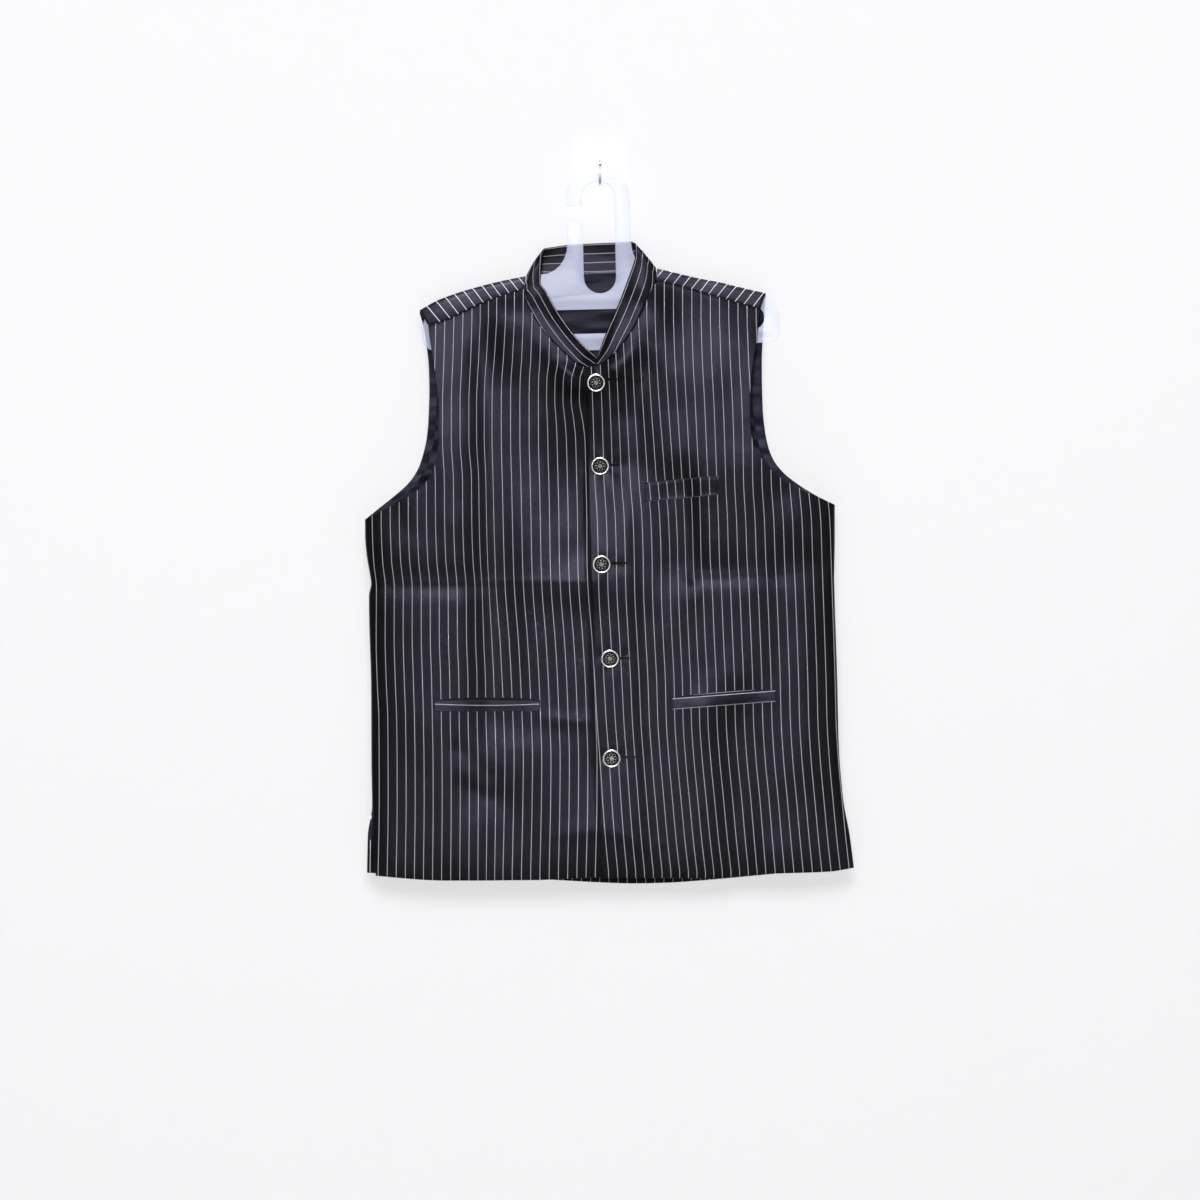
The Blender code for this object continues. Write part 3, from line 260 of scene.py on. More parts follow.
# the band of the collar; its stripes are counted from its top edge
COLLAR_RIGHT_TOPS = table(
    "x z", (-71.4, -144.6), (-64.9, -155.5), (-57.7, -168.8), (-49.3, -183.4),
    (-38.5, -199), (-27.7, -212.5), (-14.9, -225.8))
COLLAR_LEFT_TOPS = table(
    "x z", (42.6, -112.8), (32.2, -144.6), (24.6, -165.1), (16.9, -183.7),
    (10.4, -198.5), (4.5, -213.1), (-1, -228.6))
COLLAR_END = "x z top_x top_z"
COLLAR_RIGHT_END = table(
    COLLAR_END, (-13.2, -247.4, -9.2, -230.8), (-5.8, -244.6, -3.8, -235.4))
COLLAR_LEFT_END = table(COLLAR_END, (-5, -244.4, -2.9, -235))
STATION = "foot_x foot_y foot_z top_x top_y top_z face_x face_y"
COLLAR_BACK = table(
    STATION,
    (-88.9, -29.8, -141, -70.6, -30, -122, -0.7, -0.7),
    (-88.9, -25, -137.2, -69.6, -24.8, -107.4, -1.0, 0.0),
    (-87.6, -20.4, -137.6, -67.4, -20, -104.4, -0.6, 0.8),
    (-74, -17.2, -136.6, -56, -16.4, -102.4, -0.1, 1.0),
    (-44, -16.8, -135.2, -35, -15.8, -99.6, 0.0, 1.0),
    (-11, -16.8, -133.4, -9.6, -15.8, -98.2, 0.0, 1.0),
    (24, -16.8, -131.8, 19.6, -15.8, -97, 0.0, 1.0),
    (53, -17.2, -129.6, 37, -16.6, -95.8, 0.1, 1.0),
    (66.4, -20.4, -128.2, 40.8, -20, -96.6, 0.6, 0.8),
    (67.7, -25, -127.8, 42, -25, -98, 1.0, 0.0),
    (67.8, -29.8, -131.6, 42.4, -30, -102, 0.7, -0.7),
    plain=2)
BAND_STRIPES = {"back": (0.0016, 0.0108), -1: (0.0010, 0.0084), 1: (0.0020, 0.0097)}
COLLAR_STAND, COLLAR_FOOT_Y, COLLAR_TOP_Y = 0.0004, -0.0296, -0.0302
COLLAR_LEAN, COLLAR_BOW, COLLAR_WAVER = 0.0050, 0.0012, 0.0003
NECK_FACING = 0.9          # the collar's back stations face backward at least this much

WELTS = dict(zip(("chest_welt", "hip_welt_right", "hip_welt_left"), table(
    "inner_x inner_top outer_x outer_top height lean",
    (54, -386, 141.6, -377.9, 22.2, -0.8),
    (-198.6, -647.2, -72.4, -647.2, 13, 0),
    (86.4, -645, 211, -635.4, 13, 0))))
# how far the welts stand off the front at shares of their height down: lips at both edges
WELT_SECTION = table(
    "chest hip down",
    (0.8, 0.6, 0.0), (1.3, 0.9, 0.03), (1.8, 1.1, 0.06), (2, 1.2, 0.10), (2, 1.3, 0.20),
    (2, 1.5, 0.35), (1.9, 1.7, 0.50), (1.8, 1.8, 0.65), (1.8, 1.9, 0.78), (1.8, 2, 0.86),
    (1.8, 2, 0.90), (1.9, 2.1, 0.94), (2.1, 2.2, 0.97), (2.2, 2.1, 1.0), plain=1)
# strips along a welt: its name, the welt, height, rise, share free at the ends, look, lift
WELT_LINES = [
    # painted shade in the hip pocket openings
    ("hip_mouth_right", "hip_welt_right", 0.0040, -0.0004, 0.01, "painted_shade", 0.0004),
    ("hip_mouth_left", "hip_welt_left", 0.0046, -0.0004, 0.03, "painted_shade", 0.0004),
    # painted highlight on the pocket's back edge
    ("hip_edge_left", "hip_welt_left", 0.0007, 0.0024, 0.20, "pale_yarn", 0.0010),
    # painted shade along the top of the breast welt
    ("chest_mouth", "chest_welt", 0.0009, -0.0002, 0.01, "painted_shade", 0.0004),
    # painted highlights along the breast welt's top and lower edges
    ("chest_edge_top", "chest_welt", 0.0004, -0.0006, 0.01, "dim_yarn", 0.0015),
    ("chest_edge_low", "chest_welt", 0.0006, -0.0228, 0.01, "dim_yarn", 0.0026),
]
STRIP_WALL = 0.0003
TACK_WIDTH, TACK_OVER, TACK_LIFT, TACK_WALL = 0.0011, 0.0008, 0.0024, 0.0008

BUTTONS = table(
    "x z hole_z hole_end turn",
    (-4.8, -266.4, -262.2, 21.6, 0.2),
    (0, -366, -364.8, 24, 1.1),
    (1.9, -484.1, -482.6, 30.6, 0.6),
    (11.9, -597.2, -596.6, 36, 1.7),
    (13.9, -716.8, -715.2, 42, 0.9),
    plain=1)


# ------------------------------------------------------------------ settings
def colour_field(name, description, default):
    return bpy.props.FloatVectorProperty(
        name=name, description=description, subtype="COLOR", size=3, min=0, max=1,
        default=default)


def length_field(name, description, low, high, default):
    return bpy.props.FloatProperty(
        name=name, description=description, unit="LENGTH", min=low, max=high,
        default=default)


class ClothSettings(bpy.types.PropertyGroup):
    ground: colour_field("Ground", "Colour of the suiting between its stripes",
                         (0.0036, 0.0028, 0.0031))
    stripe: colour_field("Stripe", "Colour of the pinstripes", (0.45, 0.445, 0.47))
    stripe_width: length_field("Stripe width", "Width of one pinstripe",
                               0.0002, 0.01, 0.00072)
    yarn: length_field("Yarn", "Distance between neighbouring yarns",
                       0.0001, 0.01, 0.0005)
    lining: colour_field("Lining", "Colour of the satin lining", (0.0044, 0.0045, 0.0088))


class ButtonSettings(bpy.types.PropertyGroup):
    radius: length_field("Radius", "Radius of a button over its rim", 0.003, 0.03, 0.0110)
    petals: bpy.props.IntProperty(
        name="Petals", description="Petals of the filigree flower", min=3, max=24, default=8)
    metal: colour_field("Metal", "Colour of the rim and the filigree", (0.90, 0.87, 0.82))


class HangerSettings(bpy.types.PropertyGroup):
    tint: colour_field("Tint", "Colour of the frosted plastic", (0.77, 0.80, 1.0))
    edge: length_field("Edge", "Rounding of the moulded edges", 0.0001, 0.002, 0.0007)


class StageSettings(bpy.types.PropertyGroup):
    wall: colour_field("Wall", "Colour of the wall", (0.492, 0.492, 0.503))
    floor: colour_field("Floor", "Colour of the floor", (0.29, 0.29, 0.29))
    key: bpy.props.FloatProperty(
        name="Key light", description="Power that the lights take their shares of",
        subtype="POWER", min=0, max=5000, default=850)
    distance: length_field("Camera distance", "From the camera to the jacket",
                           0.5, 20, 10.0)


# ------------------------------------------------------------------ reading the tables
def column(rows, name):
    return np.array([getattr(row, name) for row in rows])


def curve(xs, ys, x):
    """Smooth curve through the points that never overshoots; the end values hold outside."""
    xs, ys = np.asarray(xs, float), np.asarray(ys, float)
    if xs[0] > xs[-1]:
        xs, ys = xs[::-1], ys[::-1]
    x = np.clip(x, xs[0], xs[-1])
    step = np.diff(ys) / np.diff(xs)
    product, total = step[:-1] * step[1:], step[:-1] + step[1:]
    inner = np.where(product > 0, 2 * product / np.where(total == 0, 1, total), 0)
    slope = np.concatenate(([step[0]], inner, [step[-1]]))
    k = np.clip(np.searchsorted(xs, x, side="right") - 1, 0, len(xs) - 2)
    width = xs[k + 1] - xs[k]
    t = (x - xs[k]) / width
    t2, t3 = t * t, t * t * t
    rise = (2 * t3 - 3 * t2 + 1) * ys[k] + (3 * t2 - 2 * t3) * ys[k + 1]
    return rise + width * ((t3 - 2 * t2 + t) * slope[k] + (t3 - t2) * slope[k + 1])


def read(rows, key, name, value):
    """One column of a table, where its key column has the value."""
    return curve(column(rows, key), column(rows, name), value)


def along(rows, at):
    """Every column of a table, at places counted in its rows."""
    return [curve(np.arange(len(rows)), sizes, at) for sizes in np.array(rows, float).T]


def smooth_step(low, high, value):
    t = np.clip((value - low) / (high - low), 0, 1)
    return t * t * (3 - 2 * t)


def side_x(name, z):
    return read(SIDES, "z", name, z)


def hem_z(name, x):
    return read(HEM, "x", name, x)


def drop_below_ridge(x, z):
    return read(SHOULDER_RIGHT[::-1] + SHOULDER_LEFT, "ridge_x", "ridge_z", x) - z


def stripe_number(rows, x, z):
    """Which stripe a point of a front lies on, read between the stripes of the table."""
    numbers = [int(name[1:]) for name in rows[0]._fields[1:]]
    places = [read(rows, "z", f"n{n}", z) for n in numbers]
    number = numbers[0] + (x - places[0]) / STRIPE_PITCH
    for a, b, left, right in zip(numbers, numbers[1:], places, places[1:]):
        number = np.where(x > left, a + (b - a) * (x - left) / (right - left), number)
    return np.where(x > places[-1], numbers[-1] + (x - places[-1]) / STRIPE_PITCH, number)


# ------------------------------------------------------------------ the hanging form
RIPPLE_LARGE, RIPPLE_SMALL = 0.00045, 0.00022
NECK_MIDDLE, NECK_CLEAR, NECK_REACH, NECK_DROP = -0.0105, 0.048, 0.074, 0.06
NECK_FULLNESS = 0.0034     # how much further back the cloth stands under the collar
PULL_SHIFT, PULL_RADIUS, PULL_WIDTH = 0.006, 0.014, 0.012
PUCKER, BUTTON_DIP, DIP_X, DIP_Z = 0.00035, 0.0007, 0.024, 0.010
GROOVE, GROOVE_SHIFT, GROOVE_WIDTH = 0.0006, 0.0012, 0.0026
UNDER_FROM, UNDER_TO, UNDER_REACH = 0.005, 0.001, 0.016


def fold_height(folds, x, z):
    """Sum of soft ridges and troughs, each along its own line and fading at its ends."""
    total = np.zeros_like(x)
    for fold in folds:
        dx, dz = fold.x1 - fold.x0, fold.z1 - fold.z0
        length = math.hypot(dx, dz)
        forth = ((x - fold.x0) * dx + (z - fold.z0) * dz) / length
        across = ((z - fold.z0) * dx - (x - fold.x0) * dz) / length
        spread = np.where(across > 0, fold.left_spread, fold.right_spread)
        fade = 0.5 * (fold.left_spread + fold.right_spread)
        ends = smooth_step(-fade, fade, forth) * smooth_step(-fade, fade, length - forth)
        total += fold.height * np.exp(-(across / spread) ** 2) * ends
    return total


def swell_height(swells, x, z):
    """Sum of rounded bellies and hollows."""
    total = np.zeros_like(x)
    for swell in swells:
        reach = np.where(z > swell.z, swell.above, swell.below)
        total += swell.height * np.exp(-((x - swell.x) / swell.half_width) ** 2
                                       - ((z - swell.z) / reach) ** 2)
    return total


def ripple(x, z, seed):
    """Slight unevenness of hanging cloth, a fraction of a millimetre."""
    a = np.sin(61 * x + 7 * z + seed) * np.sin(19 * z - 11 * x + 2 * seed)
    b = np.sin(127 * x - 23 * z + 3 * seed) * np.sin(41 * z + 29 * x + seed)
    return RIPPLE_LARGE * a + RIPPLE_SMALL * b


def fullness(x, z):
    """1 in the middle of the body, falling to 0 at the side seams."""
    reach = np.where(x < 0, -side_x("front_right", z), side_x("front_left", z))
    slit = smooth_step(SLIT_TOP_Z, HEM_Z, z)
    t = np.minimum(np.abs(x) / (reach * (1 + SLIT_SPREAD * slit)), 1)
    return np.sqrt(np.maximum(1 - t ** SIDE_ROUNDNESS, 0))


def button_pulls(x, z):
    """Small puckers that spread from each button and its buttonhole."""
    total = np.zeros_like(x)
    for button in BUTTONS:
        dx, dz = x - button.x - PULL_SHIFT, z - button.z
        near = np.exp(-((np.hypot(dx, dz) - PULL_RADIUS) / PULL_WIDTH) ** 2)
        total += PUCKER * near * np.sin(5 * np.arctan2(dz, dx) + 9 * button.turn)
        total -= BUTTON_DIP * np.exp(-(dx / DIP_X) ** 2 - (dz / DIP_Z) ** 2)
    return total


def front_y(x, z, fine=True):
    depth = read(DEPTHS, "drop", "front", drop_below_ridge(x, z))
    raised = fold_height(FRONT_FOLDS, x, z) + swell_height(FRONT_SWELLS, x, z)
    if fine:
        raised = raised + fold_height(FRONT_CREASES, x, z) + button_pulls(x, z) + ripple(x, z, 0.4)
    return HANG_PLANE - (depth + raised) * fullness(x, z)


def back_y(x, z):
    drop = drop_below_ridge(x, z)
    neck = 1 - smooth_step(NECK_CLEAR, NECK_REACH, np.abs(x - NECK_MIDDLE))
    depth = read(DEPTHS, "drop", "back", drop)
    depth = depth + NECK_FULLNESS * neck * (1 - smooth_step(0.0, NECK_DROP, drop))
    raised = fold_height(BACK_FOLDS, x, z) + fold_height(BACK_CREASES, x, z) + ripple(x, z, 2.1)
    return HANG_PLANE + (depth + raised) * fullness(x, z)


def closure_shift(side, x, z):
    """The left front lies on the right one along the closure."""
    edge = side_x("closure", z)
    half = LAP_HALF * smooth_step(LAP_TOP_Z + LAP_EASE, LAP_TOP_Z, z)
    if side > 0:
        return -half * (1 - smooth_step(edge + LAP_WIDTH, edge + LAP_WIDTH + LAP_EASE, x))
    groove = GROOVE * np.exp(-((x - edge + GROOVE_SHIFT) / GROOVE_WIDTH) ** 2) * half / LAP_HALF
    return groove + half * (smooth_step(edge - UNDER_FROM, edge - UNDER_TO, x)
                            + smooth_step(edge, edge + UNDER_REACH, x))


def panel_y(side, x, z, fine=True):
    return front_y(x, z, fine) + closure_shift(side, x, z)


# ------------------------------------------------------------------ making pieces
def link(obj):
    bpy.context.scene.collection.objects.link(obj)
    return obj


def deselect():
    for obj in bpy.context.view_layer.objects:
        obj.select_set(False)


def only(obj):
    """Makes obj the one selected and active object."""
    deselect()
    obj.select_set(True)
    bpy.context.view_layer.objects.active = obj


def bevel(obj, width, segments, degrees):
    """Rounds the edges that turn by more than some degrees."""
    only(obj)
    modifier = obj.modifiers.new("bevel", "BEVEL")
    modifier.width, modifier.segments = width, segments
    modifier.limit_method, modifier.angle_limit = "ANGLE", math.radians(degrees)
    bpy.ops.object.modifier_apply(modifier=modifier.name)


def place_in_mesh(obj):
    only(obj)
    bpy.ops.object.transform_apply(location=True, rotation=True, scale=True)
    return obj


def dress(obj, look, crease=None):
    """Gives a mesh its finish and smooth shading, sharp where it turns by over crease."""
    obj.data.materials.append(finish(look))
    obj.data.shade_smooth()
    if crease:
        obj.data.set_sharp_from_angle(angle=math.radians(crease))


def grid_quads(index):
    """Quads of a grid of point numbers, facing the viewer where rows run left to right."""
    quads = np.stack([index[:-1, :-1], index[1:, :-1], index[1:, 1:], index[:-1, 1:]], axis=-1)
    return quads.reshape(-1, 4)


def numbered(rows, columns, start=0):
    return start + np.arange(rows * columns).reshape(rows, columns)


def shell(name, points, uv, thickness, looks, turned=None, quads=None):
    """A cloth wall: the points are its outer face, the inner face lies a thickness behind.

    The points are a grid, unless quads are given. turned fixes the facing of the points,
    but for those where it is zero.
    """
    if quads is None:
        quads = grid_quads(numbered(*points.shape[:2]))
    if turned is not None:
        turned = np.broadcast_to(turned, points.shape).reshape(-1, 3)
    points, uv = points.reshape(-1, 3), uv.reshape(-1, 2)
    corners = points[quads]
    facing = np.cross(corners[:, 2] - corners[:, 0], corners[:, 3] - corners[:, 1])
    normals = np.zeros_like(points)
    for k in range(4):
        np.add.at(normals, quads[:, k], facing)
    if turned is not None:
        fixed = np.abs(turned).sum(axis=1) > 0
        normals[fixed] = turned[fixed]
    normals /= np.linalg.norm(normals, axis=1, keepdims=True)
    count = len(points)
    directed = {(a, b) for quad in quads.tolist() for a, b in zip(quad, quad[1:] + quad[:1])}
    rim = [(b, a, a + count, b + count) for a, b in directed if (b, a) not in directed]
    faces = quads.tolist() + (quads[:, ::-1] + count).tolist() + sorted(rim)
    mesh = bpy.data.meshes.new(name)
    mesh.from_pydata(np.concatenate([points, points - normals * thickness]).tolist(), [], faces)
    corner_points = np.array([loop.vertex_index for loop in mesh.loops])
    places = np.concatenate([uv, uv])[corner_points]
    mesh.uv_layers.new(name="cloth").data.foreach_set("uv", places.ravel())
    for look in looks:
        mesh.materials.append(finish(look))
    inner = np.zeros(len(faces), int)
    inner[len(quads):2 * len(quads)] = len(looks) - 1
    mesh.polygons.foreach_set("material_index", inner)
    mesh.shade_smooth()
    obj = link(bpy.data.objects.new(name, mesh))
    bevel(obj, 0.28 * abs(thickness), 2, 55)
    return obj


def settle(obj, slot, *nodes):
    """The piece rides on the body and stands for its CAD nodes, which it hides; its slot is not
    used.
    """
    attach(obj, "root")
    if nodes:
        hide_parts(*nodes)


def copy_of_node(node, name):
    """A merged copy of a CAD node, to be finished as a piece of its own."""
    obj = link(bpy.data.objects.new(name, frame["nodes"][node].data.copy()))
    only(obj)
    obj.data.materials.clear()
    bpy.ops.object.mode_set(mode="EDIT")
    bpy.ops.mesh.select_all(action="SELECT")
    bpy.ops.mesh.remove_doubles(threshold=0.00001)
    bpy.ops.mesh.dissolve_limited(angle_limit=math.radians(2))
    bpy.ops.object.mode_set(mode="OBJECT")
    return obj


# ------------------------------------------------------------------ finishes
class Finish:
    """A material with one Principled shader, and short ways to feed its sockets."""

    def __init__(self, name, colour, roughness, metallic=0.0):
        self.material = bpy.data.materials.new(name)
        self.material.use_nodes = True
        self.tree = self.material.node_tree
        self.shader = self.tree.nodes["Principled BSDF"]
        self.material.diffuse_color = (*colour, 1)
        self.set(Base_Color=colour, Roughness=roughness, Metallic=metallic)

    def feed(self, socket, value):
        """A socket, as a fixed value, a colour or from another node."""
        if isinstance(value, bpy.types.NodeSocket):
            self.tree.links.new(value, socket)
        elif value is not None:
            socket.default_value = (*value, 1) if socket.type == "RGBA" else value

    def set(self, **sockets):
        """Sockets of the shader by their names, with _ for a space."""
        for name, value in sockets.items():
            self.feed(self.shader.inputs[name.replace("_", " ")], value)

    def add(self, kind, output=0, **inputs):
        node = self.tree.nodes.new("ShaderNode" + kind)
        for name, value in inputs.items():
            self.feed(node.inputs[name.replace("_", " ")], value)
        return node.outputs[output]

    def wire(self, node, inputs, output=0):
        """Feeds the inputs of a node by their numbers."""
        for index, value in inputs:
            self.feed(node.inputs[index], value)
        return node.outputs[output]

    def math(self, operation, *values):
        node = self.tree.nodes.new("ShaderNodeMath")
        node.operation = operation
        return self.wire(node, enumerate(values))

    def times(self, a, b):
        return self.math("MULTIPLY", a, b)

    def scaled(self, value, gain, offset):
        return self.math("MULTIPLY_ADD", value, gain, offset)

    def mix(self, factor, a, b):
        node = self.tree.nodes.new("ShaderNodeMix")
        node.data_type = "RGBA"
        return self.wire(node, ((0, factor), (6, a), (7, b)), 2)

    def band(self, value, low, high):
        """0 below low, 1 above high, smooth between."""
        node = self.tree.nodes.new("ShaderNodeMapRange")
        node.interpolation_type = "SMOOTHSTEP"
        return self.wire(node, enumerate((value, low, high, 0.0, 1.0)))

    def wave(self, value, pitch):
        """0 to 1 and back, once each pitch."""
        return self.scaled(self.math("SINE", self.times(value, 2 * math.pi / pitch)), 0.5, 0.5)

    def uv(self):
        """Place on the cloth, and its parts across and along, in metres."""
        node = self.tree.nodes.new("ShaderNodeUVMap")
        node.uv_map = "cloth"
        split = self.tree.nodes.new("ShaderNodeSeparateXYZ")
        self.feed(split.inputs[0], node.outputs[0])
        return node.outputs[0], split.outputs[0], split.outputs[1]

    def object_place(self):
        return self.add("TexCoord", output=3)

    def noise(self, place, scale, detail):
        return self.add("TexNoise", Vector=place, Scale=scale, Detail=detail, Roughness=0.55)

    def streaks(self, place, scale, detail, turn=0.0):
        """Noise drawn out by a scale for each axis, turned in the plane."""
        drawn = self.add("Mapping", Vector=place, Rotation=(0.0, 0.0, turn), Scale=scale)
        return self.noise(drawn, 1.0, detail)

    def bump(self, *layers):
        """Bumps stacked on each other, each a (height, strength, distance)."""
        below = None
        for height, strength, distance in layers:
            below = self.add("Bump", Height=height, Strength=strength, Distance=distance,
                             Normal=below)
        self.set(Normal=below)


BLACK = (0.0, 0.0, 0.0)


def suiting_finish(settings):
    """Fine twill with pale pinstripes, a faint bluish sheen and uneven yarns."""
    cloth = Finish("suiting", settings.ground, 0.45)
    place, across, along_cloth = cloth.uv()
    yarn, half = settings.yarn, 0.5 * settings.stripe_width
    turns = cloth.math("PINGPONG", cloth.math("DIVIDE", across, STRIPE_PITCH), 0.5)
    off = cloth.times(turns, STRIPE_PITCH)
    twill = cloth.wave(cloth.math("ADD", cloth.times(across, 0.8), along_cloth), yarn * 1.6)
    warp = cloth.wave(across, yarn)
    dash = cloth.wave(cloth.math("ADD", along_cloth, across), yarn * 2.6)
    line = cloth.math("SUBTRACT", 1.0, cloth.band(off, half * 0.72, half * 1.25))
    line = cloth.times(line, cloth.scaled(dash, 0.22, 0.78))
    slub = cloth.streaks(place, (900.0, 14.0, 1.0), 2.0)
    cloud = cloth.noise(place, 24.0, 3.0)
    tone = cloth.times(cloth.scaled(slub, 0.95, 0.52), cloth.scaled(cloud, 0.30, 0.85))
    tone = cloth.times(tone, cloth.scaled(twill, 0.34, 0.83))
    worn = cloth.times(line, cloth.scaled(slub, 0.30, 0.80))
    cloth.set(Base_Color=cloth.mix(worn, cloth.mix(tone, BLACK, settings.ground),
                                   settings.stripe),
              Roughness=cloth.scaled(slub, 0.14, 0.295), Specular_IOR_Level=0.12,
              Specular_Tint=(0.80, 0.77, 1.0), Sheen_Weight=0.02, Sheen_Roughness=0.42,
              Sheen_Tint=(0.72, 0.76, 1.0))
    cloth.bump((cloud, 0.40, 0.0016), (twill, 0.10, 0.00010), (warp, 0.08, 0.00008),
               (line, 0.20, 0.00010))
    return cloth.material


def lining_finish(settings):
    """Navy satin: smooth, with faint weft lines and soft rumples."""
    satin = Finish("lining_satin", settings.lining, 0.38)
    place, _, along_cloth = satin.uv()
    weft = satin.wave(along_cloth, 0.0004)
    rumple = satin.streaks(place, (10.0, 42.0, 1.0), 1.2, turn=0.5)
    tone = satin.times(satin.scaled(rumple, 0.7, 0.65), satin.scaled(weft, 0.2, 0.9))
    satin.set(Base_Color=satin.mix(tone, BLACK, settings.lining),
              Roughness=satin.scaled(rumple, 0.18, 0.30), Specular_IOR_Level=0.095,
              Specular_Tint=(0.84, 0.82, 1.0))
    satin.bump((rumple, 0.9, 0.0060), (weft, 0.18, 0.00006))
    return satin.material


def woven_tab_finish():
    """Small dark woven tab."""
    tab = Finish("woven_tab", (0.035, 0.036, 0.045), 0.7)
    _, across, along_cloth = tab.uv()
    weave = tab.times(tab.wave(along_cloth, 0.00045), tab.wave(across, 0.0006))
    tab.set(Base_Color=tab.mix(weave, (0.003, 0.003, 0.007), (0.016, 0.016, 0.030)),
            Specular_IOR_Level=0.3, Specular_Tint=(0.80, 0.82, 1.0))
    tab.bump((weave, 0.5, 0.00012))
    return tab.material


def grained(name, colour, roughness, metallic, grain, relief, tones=None, edges=None,
            rough=None, **sockets):
    """A finish whose tone, roughness and relief follow one fine grain.

    grain is the noise's scale and detail, relief the bump's strength and distance; tones
    are the two ends of the colour, between the edges where these are given, and rough the
    gain and offset of the roughness.
    """
    made = Finish(name, colour, roughness, metallic)
    noise = made.noise(made.object_place(), *grain)
    if tones:
        made.set(Base_Color=made.mix(made.band(noise, *edges) if edges else noise, *tones))
    if rough:
        made.set(Roughness=made.scaled(noise, *rough))
    made.set(**sockets)
    made.bump((noise, *relief))
    return made


def shade(colour, *shares):
    """The colour, its parts each times their share, or all times the only one."""
    shares = shares * 3 if len(shares) == 1 else shares
    return tuple(part * share for part, share in zip(colour, shares))


def thread_finish(name, colour, sheen):
    """Twisted thread, or a thin strip of painted shade or of painted highlight."""
    return grained(name, colour, 0.6, 0.0, (3200.0, 2.0), (0.5, 0.00012),
                   (shade(colour, 0.5), shade(colour, 1.5)),
                   Sheen_Weight=sheen, Specular_IOR_Level=0.1).material


def rim_finish(settings):
    """Polished silver-tone metal, worn a little warmer and duller in places."""
    rim = Finish("button_rim_metal", settings.metal, 0.16, 1.0)
    place = rim.object_place()
    wear = rim.noise(place, 260.0, 4.0)
    warm = shade(settings.metal, 0.98, 0.90, 0.74)
    rim.set(Base_Color=rim.mix(rim.band(wear, 0.52, 0.72), settings.metal, warm),
            Roughness=rim.scaled(wear, 0.20, 0.10))
    rim.bump((rim.noise(place, 1900.0, 2.0), 0.12, 0.00006))
    return rim.material


def field_finish():
    """Nearly black enamel of the button, slightly pitted."""
    return grained("button_field_enamel", (0.010, 0.009, 0.010), 0.5, 0.0,
                   (1400.0, 3.0), (0.4, 0.00012),
                   ((0.003, 0.003, 0.004), (0.010, 0.008, 0.008)),
                   Specular_IOR_Level=0.06).material


def filigree_finish(settings):
    """Antiqued silver, dull in spots."""
    return grained("button_filigree_metal", settings.metal, 0.3, 0.35,
                   (1100.0, 3.0), (0.35, 0.0001), (shade(settings.metal, 0.50), settings.metal),
                   edges=(0.42, 0.66), rough=(0.25, 0.18)).material


def hanger_finish(settings):
    """Frosted, faintly blue moulded plastic that lets some light through."""
    plastic = Finish("frosted_plastic", settings.tint, 0.34)
    place = plastic.object_place()
    flow, frost = plastic.noise(place, 34.0, 3.0), plastic.noise(place, 900.0, 2.0)
    pale = tuple(min(1.0, part) for part in shade(settings.tint, 1.04))
    plastic.set(Base_Color=plastic.mix(flow, settings.tint, pale),
                Roughness=plastic.scaled(frost, 0.16, 0.26), Alpha=0.335, Coat_Weight=0.12,
                Coat_Roughness=0.2)
    plastic.bump((frost, 0.12, 0.00008), (flow, 0.10, 0.0006))
    return plastic.material


def clear_finish():
    """Clear glossy plastic with a few scuffs, thin enough to be seen straight through."""
    return grained("clear_plastic", (0.95, 0.955, 0.96), 0.08, 0.0, (420.0, 3.0),
                   (0.06, 0.0001), rough=(0.10, 0.04), Alpha=0.20).material


def steel_finish():
    """Bare steel wire, drawn lengthwise."""
    wire = Finish("steel_wire", (0.56, 0.55, 0.53), 0.28, 1.0)
    drawn = wire.streaks(wire.object_place(), (1800.0, 1800.0, 90.0), 2.0)
    wire.set(Roughness=wire.scaled(drawn, 0.25, 0.16))
    wire.bump((drawn, 0.10, 0.00005))
    return wire.material


MAKERS = {
    "suiting": lambda scene: suiting_finish(scene.jacket_cloth),
    "lining": lambda scene: lining_finish(scene.jacket_cloth),
    "thread": lambda scene: thread_finish("buttonhole_thread", (0.006, 0.006, 0.008), 0.02),
    # very dark strips: painted shade in the pocket openings and the buttonhole slits
    "painted_shade": lambda scene: thread_finish("pocket_mouth_cloth", (0.0015, 0.0015, 0.002), 0.0),
    # pale and dim strips: painted highlights along the welt edges
    "pale_yarn": lambda scene: thread_finish("pale_yarn", (0.28, 0.28, 0.32), 0.05),
    "dim_yarn": lambda scene: thread_finish("dim_yarn", (0.085, 0.085, 0.105), 0.05),
    "rim": lambda scene: rim_finish(scene.jacket_buttons),
    "field": lambda scene: field_finish(),
    "filigree": lambda scene: filigree_finish(scene.jacket_buttons),
    "hanger": lambda scene: hanger_finish(scene.jacket_hanger),
    "clear": lambda scene: clear_finish(),
    "steel": lambda scene: steel_finish(),
    "tab": lambda scene: woven_tab_finish(),
}
MADE = {}


def finish(name):
    """The finish of that name, made once from the settings."""
    if name not in MADE:
        MADE[name] = MAKERS[name](bpy.context.scene)
    return MADE[name]


# ------------------------------------------------------------------ cloth pieces
FRONTS = {
    -1: ("front_right", FRONT_RIGHT_ROWS, SHOULDER_RIGHT, RIGHT_STRIPES),
    1: ("front_left", FRONT_LEFT_ROWS, SHOULDER_LEFT, LEFT_STRIPES),
}


def upper_places(rows, down, share):
    """x and z of a panel's upper part, at shares of the way from inner to outer edge."""
    inner_x, inner_z, outer_x, outer_z = along(rows, down)
    return inner_x + (outer_x - inner_x) * share, inner_z + (outer_z - inner_z) * share


def skirt_places(top_z, armpit, inner, shift, outer, hem, share):
    """x and z of a panel's part below the armholes."""
    fall = np.linspace(0, 1, SKIRT_ROWS)[1:, None]
    level = top_z + (HEM_Z - top_z) * fall
    inner_x = side_x(inner, level) + shift
    x = inner_x + (side_x(outer, level) - inner_x) * share
    return x, armpit + (hem_z(hem, x) - armpit) * fall


